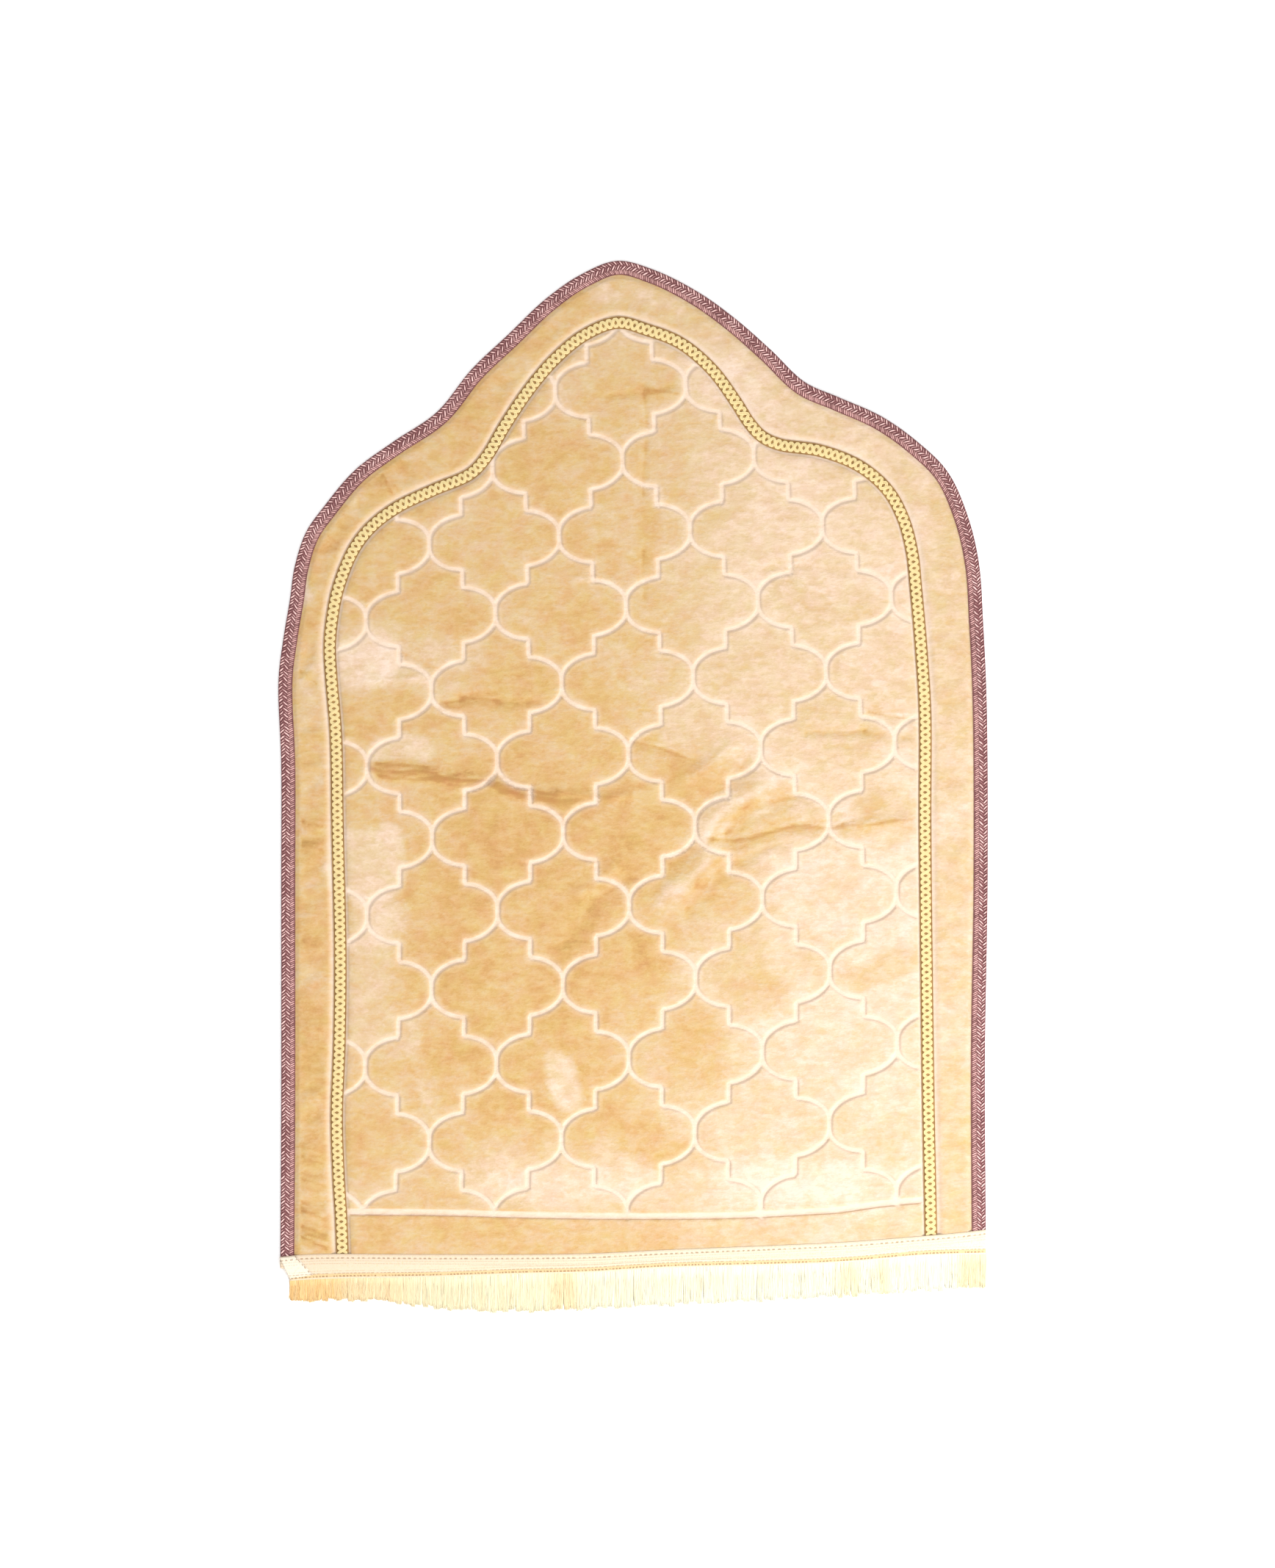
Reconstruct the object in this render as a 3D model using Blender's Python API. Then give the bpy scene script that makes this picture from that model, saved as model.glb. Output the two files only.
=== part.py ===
"""A padded prayer rug with an arch-shaped end. Blender 4.5, metres, +Z up.

The rug lies flat on z = 0, with the arch's tip towards +Y and the fringe towards -Y. The origin is
the bottom centre of the whole rug's box.

It is built in four sewn pieces: the padded velour cloth with its pressed trellis, the gold gimp
braid laid in a pressed channel, the plaited binding folded over the edge, and the heading tape
with its fringe.
"""

import math

import bmesh
import bpy
import numpy as np
from mathutils.geometry import delaunay_2d_cdt

MM = 0.001

# ---------------------------------------------------------------- driving sizes, in millimetres
CLOTH_THICK = 5.0
EDGE_TOP = 3.3
EDGE_BOTTOM = 1.1
HEM_TOP = 1.8

BINDING_WIDE = 16.0
BINDING_UNDER = 9.0
BINDING_TALL = 5.0
BINDING_SKIN = 0.9
FOLD_GAP = 1.2
PILE_CLEAR = 0.4
PILE_ROLL = 5.0
UNDER_CLEAR = 1.2
UNDER_RAMP = 2.0

GOLD_WIDE = 15.0
GOLD_LOW = 3.3
GOLD_TALL = 5.0
CHANNEL_FLOOR = 3.0
CHANNEL_HALF = 8.0
CHANNEL_INSIDE = 11.0
CHANNEL_OUTSIDE = 14.5

GROOVE_HALF = 3.5
GROOVE_DEEP = 1.7
LINE_HALF = 4.5
LINE_DEEP = 1.7

TUCK = 4.0
HEM_INSIDE = 3.0
HEADING_SLOPE = 6.5
HEADING_END = 399.0
CORNER_DROP = 2.0

STRAND_COUNT = 178
STRAND_WIDE = 3.7
STRAND_TALL = 1.2
STRAND_FIRST = -386.0
STRAND_LAST = 397.0
STRAND_ROOT = 0.6
STRAND_SHORT = 1.5

# ---------------------------------------------------------------- outlines
# Each row is a place on the rug: across, along, in millimetres from the middle of its box.

# Outer edge of the binding, from the heading up the left side, over the tip, down to the heading
OUTER_EDGE = (
    (-399, -537), (-398, -355), (-398, -106), (-398, 27), (-401, 122), (-395, 172), (-388, 214),
    (-383, 249), (-370, 289), (-349, 319), (-315, 359), (-272, 391), (-222, 425), (-183, 473),
    (-141, 513), (-100, 552), (-60, 580), (-18, 596), (23, 586), (73, 561), (115, 531), (156, 495),
    (194, 459), (232, 442), (281, 420), (322, 391), (356, 357), (378, 309), (391, 255), (396, 185),
    (400, 93), (401, -106), (398, -305), (399, -513),
)

# Middle of the gold braid, the same way round
GOLD_LINE = (
    (-328, -542), (-330, -488), (-333, -438), (-335, -371), (-332, -288), (-331, -189), (-334, -48),
    (-336, 60), (-341, 122), (-343, 160), (-340, 193), (-333, 227), (-316, 269), (-296, 295),
    (-267, 317), (-225, 337), (-184, 355), (-166, 374), (-144, 411), (-117, 451), (-87, 486),
    (-53, 513), (-17, 526), (15, 518), (53, 503), (89, 473), (117, 435), (131, 413), (146, 397),
    (166, 388), (212, 381), (257, 363), (288, 336), (305, 305), (315, 268), (320, 222), (326, 152),
    (330, 85), (330, -39), (332, -230), (334, -371), (337, -521),
)

# Upper edge of the heading tape, left to right
HEADING_TOP = (
    (-399, -530), (-367, -527), (-226, -527), (-134, -527), (-51, -526), (32, -522), (239, -513),
    (305, -508), (364, -503), (399, -499),
)

# Foot of the heading tape, where the fringe leaves it
HEADING_FOOT = (
    (-399, -557), (-350, -554), (-226, -552), (-134, -549), (-51, -547), (32, -542), (231, -536),
    (330, -528), (399, -526),
)

# Tips of the fringe
FRINGE_TIPS = (
    (-387, -582), (-284, -582), (-226, -590), (-134, -594), (-51, -591), (32, -587), (156, -581),
    (247, -576), (322, -571), (399, -566),
)

# Line pressed across the cloth above the heading
PRESSED_LINE = (
    (-330, -479), (-217, -480), (-101, -483), (-2, -484), (115, -483), (198, -479), (231, -477),
    (281, -470), (336, -465),
)

# The left end of the tape is folded under at a slant, and its foot starts this much further in
LEFT_SLANT = 11.0

# ---------------------------------------------------------------- trellis
COLUMN_PITCH = 149.2
COLUMN_MIDDLE = -9.6
COLUMN_LEAN = 9.1
ROW_PITCH = 84.6
ROW_TOP = 533.2
ROW_PULL = 12.0
ROW_RISE = 0.046
ROW_COUNT = 13
COLUMN_COUNT = 4

# The cloth is stretched unevenly: how far each pull shifts the trellis at the reach of the pulls
PULL_ACROSS = 300.0
PULL_ALONG = 400.0
SIDE_PULL = 3.0
COLUMN_FAN = 2.8
COLUMN_BOW = 4.3
ROW_BOW = 6.3

# One lobe of a cell, as shares of the column and row pitch
NECK_HALF = 0.072
STEP_START = 0.375
LOBE_REACH = 0.25
LOBE_FULLNESS = 1.8
LOBE_STEPS = 5

# ---------------------------------------------------------------- wrinkles
# from (across, along), to (across, along), height, half width; a trough has a height below nought
WRINKLES = (
    ((-294, 22), (-176, 14), 1.8, 7),
    ((-296, 6), (-176, 8), 1.4, 6),
    ((-176, 10), (-86, -7), 1.5, 7),
    ((-86, -6), (-4, -8), 1.2, 7),
    ((-218, 92), (-106, 99), -1.3, 10),
    ((155, 18), (84, -52), 2.2, 14),
    ((170, -2), (96, -48), -1.6, 12),
    ((84, -52), (236, -40), -1.5, 9),
    ((236, -40), (318, -38), 1.2, 8),
    ((98, -78), (34, -130), 2.0, 14),
    ((60, -86), (18, -118), -1.3, 12),
    ((266, 84), (320, 80), -1.2, 8),
    ((18, 452), (50, 444), 1.0, 8),
    ((12, 300), (14, 350), -0.8, 16),
    ((-378, -512), (-342, -521), 1.6, 6),
    ((-376, -404), (-350, -408), 1.0, 7),
    ((-376, -450), (-350, -446), 1.1, 7),
    ((-376, -486), (-350, -484), 1.1, 7),
)
WRINKLE_LOW = -1.8
WRINKLE_HIGH = 2.6
WRINKLE_FADE = 12.0
WRINKLE_FLANK = 1.3

# ---------------------------------------------------------------- fineness of the surfaces
CHORD_BOW = 0.45
CHORD_LONGEST = 60.0
HEM_STATIONS = 22
PRESSED_STATIONS = 26
TAPE_LINE_STATIONS = 24
HEADING_SECTIONS = 34
RIM_CLEAR = 1.5
SOFT_SPACING = 30.0
WRINKLE_SPACING = 18.0
CLEAR_OF_LINES = 7.0
INSET_KEPT = 0.93
MERGE = 0.05

# ---------------------------------------------------------------- colours, linear
VELOUR = (0.71, 0.42, 0.19, 1)
GOLD = (0.87, 0.69, 0.33, 1)
MAUVE = (0.33, 0.14, 0.15, 1)
CREAM = (0.93, 0.83, 0.62, 1)


# ---------------------------------------------------------------- scene helpers
def clear_scene():
    """Remove every object in the file."""
    for thing in list(bpy.data.objects):
        bpy.data.objects.remove(thing, do_unlink=True)


def make_collection(name):
    """A collection linked to the scene."""
    group = bpy.data.collections.new(name)
    bpy.context.scene.collection.children.link(group)
    return group


def make_material(name, colour, roughness):
    """A plain Principled material."""
    material = bpy.data.materials.new(name)
    material.use_nodes = True
    shader = material.node_tree.nodes["Principled BSDF"]
    shader.inputs["Base Color"].default_value = colour
    shader.inputs["Roughness"].default_value = roughness
    shader.inputs["Metallic"].default_value = 0.0
    return material


def make_object(name, points, faces, material, group):
    """One mesh object from points in millimetres, with its normals facing out."""
    mesh = bpy.data.meshes.new(name)
    mesh.from_pydata([tuple(c * MM for c in p) for p in points], [], faces)
    work = bmesh.new()
    work.from_mesh(mesh)
    bmesh.ops.recalc_face_normals(work, faces=work.faces)
    work.to_mesh(mesh)
    work.free()
    mesh.materials.append(material)
    thing = bpy.data.objects.new(name, mesh)
    group.objects.link(thing)
    return thing


# ---------------------------------------------------------------- lines on the rug
def smooth_line(knots, spacing=2.0):
    """A rounded curve through the knots, with a point about every spacing."""
    knots = np.array(knots, float)
    ends = (2 * knots[:1] - knots[1:2], knots, 2 * knots[-1:] - knots[-2:-1])
    knots = np.vstack(ends)
    points = []
    for p0, p1, p2, p3 in zip(knots, knots[1:], knots[2:], knots[3:]):
        t1 = math.sqrt(np.linalg.norm(p1 - p0))
        t2 = t1 + math.sqrt(np.linalg.norm(p2 - p1))
        t3 = t2 + math.sqrt(np.linalg.norm(p3 - p2))
        count = max(1, round(np.linalg.norm(p2 - p1) / spacing))
        for t in np.linspace(t1, t2, count, endpoint=False):
            a1 = ((t1 - t) * p0 + t * p1) / t1
            a2 = ((t2 - t) * p1 + (t - t1) * p2) / (t2 - t1)
            a3 = ((t3 - t) * p2 + (t - t2) * p3) / (t3 - t2)
            b1 = ((t2 - t) * a1 + t * a2) / t2
            b2 = ((t3 - t) * a2 + (t - t1) * a3) / (t3 - t1)
            points.append(((t2 - t) * b1 + (t - t1) * b2) / (t2 - t1))
    points.append(knots[-2])
    return np.array(points)


def thin_out(line):
    """Drop points from a line while no chord bows out further, or is longer, than is allowed."""
    keep = [0]
    for i in range(1, len(line) - 1):
        start = line[keep[-1]]
        chord = line[i + 1] - start
        length = np.linalg.norm(chord)
        between = line[keep[-1]:i + 1] - start
        off = np.abs(chord[0] * between[:, 1] - chord[1] * between[:, 0]) / length
        if length > CHORD_LONGEST or off.max() > CHORD_BOW:
            keep.append(i)
    keep.append(len(line) - 1)
    return line[keep]


def outward(line):
    """Unit normals to the left of the line's run, which is away from the rug's middle."""
    run = np.gradient(line, axis=0)
    run /= np.linalg.norm(run, axis=1)[:, None]
    return np.stack([-run[:, 1], run[:, 0]], axis=1)


def offset(line, distance):
    """The line moved outwards by the distance, or inwards where it is below nought."""
    return line + outward(line) * distance


def height_of(knots):
    """A function from the place across the rug to the place along it, on a line of knots."""
    line = smooth_line(knots)
    return lambda across: np.interp(across, line[:, 0], line[:, 1])


def distance_to(points, starts, ends):
    """Distance of each point to the nearest of many segments, and to which side it lies."""
    best = np.full(len(points), np.inf)
    side = np.zeros(len(points))
    for a, b in zip(starts, ends):
        run = b - a
        rel = points - a
        share = np.clip(rel @ run / (run @ run), 0, 1)
        gap = np.linalg.norm(rel - share[:, None] * run, axis=1)
        nearer = gap < best
        best[nearer] = gap[nearer]
        turn = run[0] * rel[:, 1] - run[1] * rel[:, 0]
        side[nearer] = np.sign(turn[nearer])
    return best, side


def is_inside(points, outline):
    """Whether each point lies inside a closed outline."""
    inside = np.zeros(len(points), bool)
    for (x1, y1), (x2, y2) in zip(outline, np.roll(outline, -1, axis=0)):
        if y1 == y2:
            continue
        crosses = (y1 > points[:, 1]) != (y2 > points[:, 1])
        reach = x1 + (points[:, 1] - y1) * (x2 - x1) / (y2 - y1)
        inside ^= crosses & (points[:, 0] < reach)
    return inside


def clip_line(line, outline):
    """The stretches of a line that lie inside a closed outline."""
    stretches = []
    current = []
    for a, b in zip(line, line[1:]):
        cuts = [0.0, 1.0]
        for p, q in zip(outline, np.roll(outline, -1, axis=0)):
            run = b - a
            wall = q - p
            cross = run[0] * wall[1] - run[1] * wall[0]
            if abs(cross) < 1e-12:
                continue
            s = ((p - a)[0] * wall[1] - (p - a)[1] * wall[0]) / cross
            t = ((p - a)[0] * run[1] - (p - a)[1] * run[0]) / cross
            if 0 < s < 1 and 0 <= t <= 1:
                cuts.append(s)
        cuts.sort()
        for s0, s1 in zip(cuts, cuts[1:]):
            middle = a + (b - a) * (s0 + s1) / 2
            if not is_inside(middle[None], outline)[0]:
                if len(current) > 1:
                    stretches.append(np.array(current))
                current = []
                continue
            if not current:
                current = [a + (b - a) * s0]
            current.append(a + (b - a) * s1)
    if len(current) > 1:
        stretches.append(np.array(current))
    return stretches


# ---------------------------------------------------------------- the rug's lines
heading_top = height_of(HEADING_TOP)
heading_foot = height_of(HEADING_FOOT)
fringe_tip = height_of(FRINGE_TIPS)
pressed_line = height_of(PRESSED_LINE)


def above_heading(line):
    """The part of a line down to where it is tucked under the heading."""
    return line[line[:, 1] > heading_top(line[:, 0]) - TUCK]


def edge_stations():
    """Stations round the outer edge, for the binding and for what follows it."""
    return thin_out(above_heading(smooth_line(OUTER_EDGE)))


def gold_stations():
    """Stations along the middle of the gold braid."""
    return thin_out(above_heading(smooth_line(GOLD_LINE)))


def run_on(line, length=60.0):
    """The line with both ends carried straight on down the rug."""
    down = np.array([0.0, -length])
    return np.vstack([line[:1] + down, line, line[-1:] + down])


def cloth_outline():
    """The cut edge of the cloth, inside the fold of the binding and of the heading."""
    sides = offset(edge_stations(), -FOLD_GAP)
    left, right = sides[0][0], sides[-1][0]
    slant_top = heading_top(left) - HEADING_SLOPE - CORNER_DROP
    slant_foot = left + LEFT_SLANT
    across = np.linspace(right, slant_foot, HEM_STATIONS)
    hem = np.stack([across, heading_foot(across) + HEM_INSIDE], axis=1)
    return np.vstack([sides, hem, [[left, slant_top]]])


# ---------------------------------------------------------------- trellis
def trellis_place(side, row):
    """A place on the trellis; side counts cells to the right, row counts rows down."""
    turn = math.pi * row / (ROW_COUNT - 1)
    y = ROW_TOP - ROW_PITCH * row + ROW_PULL * math.sin(turn)
    x = COLUMN_MIDDLE + COLUMN_LEAN * row / (ROW_COUNT - 1) + COLUMN_PITCH * side
    y += ROW_RISE * x
    u, v = x / PULL_ACROSS, y / PULL_ALONG
    x += SIDE_PULL * u * u - COLUMN_FAN * u * v - COLUMN_BOW * v * v
    return np.array([x, y - ROW_BOW * u * u * v])


def lobe():
    """From a neck down round a lobe, down a step and round to the next neck, on the trellis."""
    arc = []
    for i in range(LOBE_STEPS + 1):
        turn = math.pi / 2 * i / LOBE_STEPS
        side = LOBE_REACH * (1 - math.cos(turn) ** (2 / LOBE_FULLNESS))
        row = NECK_HALF + (STEP_START - NECK_HALF) * math.sin(turn) ** (2 / LOBE_FULLNESS)
        arc.append((side, row))
    return arc + [(0.5 - side, 1 - row) for side, row in reversed(arc)]


def trellis_places(odd):
    """The necks of the trellis, or with odd the middles of its cells."""
    for row in range(ROW_COUNT):
        for half in range(-2 * COLUMN_COUNT, 2 * COLUMN_COUNT + 1):
            if (row + half) % 2 == odd:
                yield half / 2, row


def groove_lines():
    """The middles of all pressed grooves of the trellis: necks, and the lobes below them."""
    lines = []
    for side, row in trellis_places(odd=0):
        ends = (row - NECK_HALF, row + NECK_HALF)
        lines.append(np.array([trellis_place(side, r) for r in ends]))
        for hand in (-1, 1):
            path = [trellis_place(side + hand * s, row + r) for s, r in lobe()]
            lines.append(np.array(path))
    return lines


def cell_rims():
    """The rim of each raised cell, half a groove inside the grooves' middles."""
    quarter = [(0.5 - s, r) for s, r in lobe()]
    rims = []
    for side, row in trellis_places(odd=1):
        loop = [(s, -r) for s, r in quarter]
        loop += [(-s, -r) for s, r in reversed(quarter)]
        loop += [(-s, r) for s, r in quarter]
        loop += [(s, r) for s, r in reversed(quarter)]
        loop = np.array([trellis_place(side + s, row + r) for s, r in loop])
        rims.append(inset_loop(loop, GROOVE_HALF))
    return rims


def inset_loop(loop, distance):
    """A closed loop moved inwards, without the points that the move folds over."""
    ahead = np.roll(loop, -1, axis=0) - loop
    keep = np.linalg.norm(ahead, axis=1) > 1e-6
    loop = loop[keep]
    ahead = np.roll(loop, -1, axis=0) - loop
    ahead /= np.linalg.norm(ahead, axis=1)[:, None]
    behind = np.roll(ahead, 1, axis=0)
    normals = np.stack([-(ahead + behind)[:, 1], (ahead + behind)[:, 0]], axis=1)
    normals /= np.linalg.norm(normals, axis=1)[:, None]
    facing = -normals[:, 0] * ahead[:, 1] + normals[:, 1] * ahead[:, 0]
    moved = loop + normals * (distance / np.clip(facing, 0.5, 1))[:, None]
    gap, _ = distance_to(moved, loop, np.roll(loop, -1, axis=0))
    moved = moved[gap > INSET_KEPT * distance]
    return np.vstack([moved, moved[:1]])


def pressed_field(gold):
    """The outline inside which the trellis shows: the gold arch above the pressed line."""
    arch = offset(gold, -CHANNEL_HALF)
    arch = arch[arch[:, 1] > pressed_line(arch[:, 0])]
    across = np.linspace(arch[-1][0], arch[0][0], PRESSED_STATIONS)
    foot = np.stack([across, pressed_line(across)], axis=1)
    return np.vstack([arch, foot])


# ---------------------------------------------------------------- height of the cloth
def ease(share):
    """A smooth step from nought to one."""
    share = np.clip(share, 0, 1)
    return share * share * (3 - 2 * share)


def wrinkle_height(points):
    """Soft ridges and troughs where the cloth has wrinkled."""
    total = np.zeros(len(points))
    for start, end, height, half in WRINKLES:
        a = np.array(start, float)
        run = np.array(end, float) - a
        rel = points - a
        share = rel @ run / (run @ run)
        off = np.linalg.norm(rel - np.clip(share, 0, 1)[:, None] * run, axis=1)
        total += height * np.exp(-(off / half) ** 2)
    return np.clip(total, WRINKLE_LOW, WRINKLE_HIGH)


def cloth_top(points, edge, gold, grooves):
    """Height of the pile at each point."""
    inset, _ = distance_to(points, edge[:-1], edge[1:])
    from_gold, hand = distance_to(points, gold[:-1], gold[1:])
    starts = np.vstack([line[:-1] for line in grooves])
    ends = np.vstack([line[1:] for line in grooves])
    from_groove, _ = distance_to(points, starts, ends)
    from_line = np.abs(points[:, 1] - pressed_line(points[:, 0]))
    under_arch = (hand < 0) & (points[:, 1] > pressed_line(points[:, 0]) - LINE_HALF)
    below_tape = heading_top(points[:, 0]) - points[:, 1]
    reach = heading_top(points[:, 0]) - heading_foot(points[:, 0]) - HEM_INSIDE - HEADING_SLOPE

    groove = GROOVE_DEEP * np.clip(1 - from_groove / GROOVE_HALF, 0, 1) * under_arch
    line = LINE_DEEP * np.clip(1 - from_line / LINE_HALF, 0, 1) * (hand < 0)
    edge_share = (inset - BINDING_WIDE - PILE_CLEAR) / PILE_ROLL
    binding = (CLOTH_THICK - EDGE_TOP) * (1 - ease(edge_share))
    wide = np.where(hand > 0, CHANNEL_OUTSIDE, CHANNEL_INSIDE)
    channel_share = (from_gold - CHANNEL_HALF) / (wide - CHANNEL_HALF)
    channel = (CLOTH_THICK - CHANNEL_FLOOR) * (1 - ease(channel_share))
    heading = (CLOTH_THICK - HEM_TOP) * np.clip((below_tape - HEADING_SLOPE) / reach, 0, 1)
    drop = np.max([groove, line, binding, channel, heading], axis=0)

    inside = inset - BINDING_WIDE - PILE_CLEAR - PILE_ROLL
    free = np.min([from_gold - wide, inside, -below_tape], axis=0)
    return CLOTH_THICK - drop + wrinkle_height(points) * ease(free / WRINKLE_FADE)


def cloth_bottom(points, edge):
    """Height of the underside, lifted where the binding is folded under it."""
    inset, _ = distance_to(points, edge[:-1], edge[1:])
    return EDGE_BOTTOM * (1 - ease((inset - BINDING_UNDER - UNDER_CLEAR) / UNDER_RAMP))


def soft_points(outline, lines):
    """Loose points that carry the wrinkles, clear of every line."""
    low, high = outline.min(axis=0), outline.max(axis=0)
    points = []
    row_spacing = SOFT_SPACING * math.sqrt(3) / 2
    for row, y in enumerate(np.arange(low[1], high[1], row_spacing)):
        shift = SOFT_SPACING / 2 * (row % 2)
        points += [(x, y) for x in np.arange(low[0] + shift, high[0], SOFT_SPACING)]
    for start, end, _, half in WRINKLES:
        run = np.array(end, float) - start
        side = half * np.array([-run[1], run[0]]) / np.linalg.norm(run)
        steps = max(2, round(np.linalg.norm(run) / WRINKLE_SPACING) + 1)
        for share in np.linspace(0, 1, steps):
            middle = np.array(start) + run * share
            points += [tuple(middle + side * k) for k in (-WRINKLE_FLANK, 0, WRINKLE_FLANK)]
    points = np.array(points)
    points = points[is_inside(points, outline)]
    starts = np.vstack([line[:-1] for line in lines])
    ends = np.vstack([line[1:] for line in lines])
    gap, _ = distance_to(points, starts, ends)
    points = points[gap > CLEAR_OF_LINES]
    spread = []
    for point in points[::-1]:
        if all(np.linalg.norm(point - other) > CLEAR_OF_LINES for other in spread):
            spread.append(point)
    return spread


def fill_flat(outline, lines, points):
    """Triangles between the outline, the lines and the points, none of them outside the outline."""
    inside_only = 1
    coords = [tuple(p) for p in outline]
    edges = [(i, (i + 1) % len(outline)) for i in range(len(outline))]
    for line in lines:
        first = len(coords)
        coords += [tuple(p) for p in line]
        edges += [(first + i, first + i + 1) for i in range(len(line) - 1)]
    coords += [tuple(p) for p in points]
    coords, _, faces, _, _, _ = delaunay_2d_cdt(coords, edges, [], inside_only, MERGE)
    return np.array([tuple(c) for c in coords]), [list(face) for face in faces]


def rim_edges(faces):
    """The edges that only one face uses, in that face's order."""
    used = {(a, b) for face in faces for a, b in zip(face, face[1:] + face[:1])}
    return [(a, b) for a, b in used if (b, a) not in used]


# ---------------------------------------------------------------- pieces
def build_cloth(material, group):
    """The padded velour, its top pressed and wrinkled and its underside flat."""
    edge = run_on(edge_stations())
    gold = run_on(gold_stations())
    outline = cloth_outline()
    inner = inset_loop(outline[::-1], RIM_CLEAR)[:-1]

    field = pressed_field(gold)
    grooves = [part for line in groove_lines() for part in clip_line(line, field)]
    rims = [part for line in cell_rims() for part in clip_line(line, field)]
    across = np.linspace(field[:, 0].min(), field[:, 0].max(), PRESSED_STATIONS)
    level = pressed_line(across)
    pressed = [np.stack([across, level + k * LINE_HALF], axis=1) for k in (-1, 0, 1)]
    pressed = [part for line in pressed for part in clip_line(line, offset(gold, -CHANNEL_HALF))]

    pile_edge = BINDING_WIDE + PILE_CLEAR
    rings = [offset(edge, -pile_edge), offset(edge, -pile_edge - PILE_ROLL)]
    widths = (CHANNEL_OUTSIDE, CHANNEL_HALF, -CHANNEL_HALF, -CHANNEL_INSIDE)
    rings += [offset(gold, width) for width in widths]
    across = np.linspace(-HEADING_END, HEADING_END, TAPE_LINE_STATIONS)
    rings.append(np.stack([across, heading_top(across) - HEADING_SLOPE], axis=1))
    rings = [part for line in rings for part in clip_line(line, inner)]

    lines = grooves + rims + pressed + rings
    soft = soft_points(inner, lines + [np.vstack([outline, outline[:1]])])
    top, top_faces = fill_flat(outline, lines, soft)
    top_z = cloth_top(top, edge, gold, grooves)

    under_edge = BINDING_UNDER + UNDER_CLEAR
    under = [offset(edge, -under_edge), offset(edge, -under_edge - UNDER_RAMP)]
    under = [part for line in under for part in clip_line(line, inner)]
    bottom, bottom_faces = fill_flat(outline, under, [])
    bottom_z = cloth_bottom(bottom, edge)

    count = len(top)
    places = {tuple(np.round(p, 2)): count + i for i, p in enumerate(bottom)}
    walls = []
    for a, b in rim_edges(top_faces):
        low_a = places[tuple(np.round(top[a], 2))]
        low_b = places[tuple(np.round(top[b], 2))]
        walls.append((low_a, low_b, b, a))
    points = [(x, y, z) for (x, y), z in zip(top, top_z)]
    points += [(x, y, z) for (x, y), z in zip(bottom, bottom_z)]
    faces = top_faces + [[count + i for i in reversed(face)] for face in bottom_faces] + walls
    return make_object("rug_cloth", points, faces, material, group)


def sweep(name, line, profile, material, group):
    """A closed profile of (outward, height) carried along a line, with both ends closed."""
    normals = outward(line)
    size = len(profile)
    points = []
    for place, normal in zip(line, normals):
        for out, height in profile:
            points.append((*(place + normal * out), height))
    faces = [list(range(size))]
    for i in range(len(line) - 1):
        for j in range(size):
            k = (j + 1) % size
            faces.append([i * size + j, i * size + k, (i + 1) * size + k, (i + 1) * size + j])
    faces.append([(len(line) - 1) * size + j for j in range(size)])
    return make_object(name, points, faces, material, group)


def build_binding(material, group):
    """The plaited band folded over the cut edge: under it, round it and on top of it."""
    # outwards from the edge's line, height
    profile = (
        (-BINDING_UNDER, 0.0),
        (-1.0, 0.0),
        (0.0, 1.2),
        (0.0, 3.6),
        (-1.8, BINDING_TALL - 0.4),
        (-BINDING_WIDE / 2, BINDING_TALL),
        (-BINDING_WIDE + 1.6, BINDING_TALL - 0.3),
        (-BINDING_WIDE, EDGE_TOP + 0.4),
        (-BINDING_SKIN, EDGE_TOP + 0.3),
        (-BINDING_SKIN, EDGE_BOTTOM - 0.3),
        (-BINDING_UNDER, EDGE_BOTTOM - 0.3),
    )
    return sweep("edge_binding", edge_stations(), profile, material, group)


def build_gold_braid(material, group):
    """The gimp braid in its pressed channel: flat below, with a ridge along each half on top."""
    half = GOLD_WIDE / 2
    # outwards from the braid's middle, height
    profile = (
        (-half, GOLD_LOW),
        (-half, GOLD_LOW + 0.7),
        (-half * 0.5, GOLD_TALL),
        (0.0, GOLD_TALL - 0.4),
        (half * 0.5, GOLD_TALL),
        (half, GOLD_LOW + 0.7),
        (half, GOLD_LOW),
    )
    return sweep("gold_braid", gold_stations(), profile, material, group)


def build_heading(material, group):
    """The tape over the cloth's bottom edge: it slopes down to a foot on the floor."""
    # which line the point is measured from, distance towards the fringe, height
    profile = (
        ("top", 0.0, 5.5),
        ("top", 0.0, 6.2),
        ("top", 2.0, 6.6),
        ("top", 8.0, 6.3),
        ("foot", -5.0, 3.7),
        ("foot", 0.0, 2.5),
        ("foot", 1.2, 1.6),
        ("foot", 1.2, 0.0),
        ("foot", -2.6, 0.0),
        ("foot", -2.6, 2.3),
        ("top", 7.0, 5.5),
    )
    size = len(profile)
    points = []
    for share in np.linspace(0, 1, HEADING_SECTIONS):
        for line, down, height in profile:
            start = -HEADING_END if line == "top" else -HEADING_END + LEFT_SLANT
            across = start + (HEADING_END - start) * share
            level = heading_top(across) if line == "top" else heading_foot(across)
            points.append((across, level - down, height))
    faces = [list(range(size))]
    for i in range(HEADING_SECTIONS - 1):
        for j in range(size):
            k = (j + 1) % size
            faces.append([i * size + j, i * size + k, (i + 1) * size + k, (i + 1) * size + j])
    faces.append([(HEADING_SECTIONS - 1) * size + j for j in range(size)])
    return make_object("fringe_trim", points, faces, material, group)


def strand_sway(index):
    """How far a strand's tip leans to the side, and how much shorter than its neighbours it is."""
    lean = 2.2 * math.sin(index * 0.47) + 1.1 * math.sin(index * 0.19 + 2)
    short = 1.8 * math.sin(index * 0.83) + 1.4 * math.sin(index * 2.3 + 1)
    return lean, short


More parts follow.
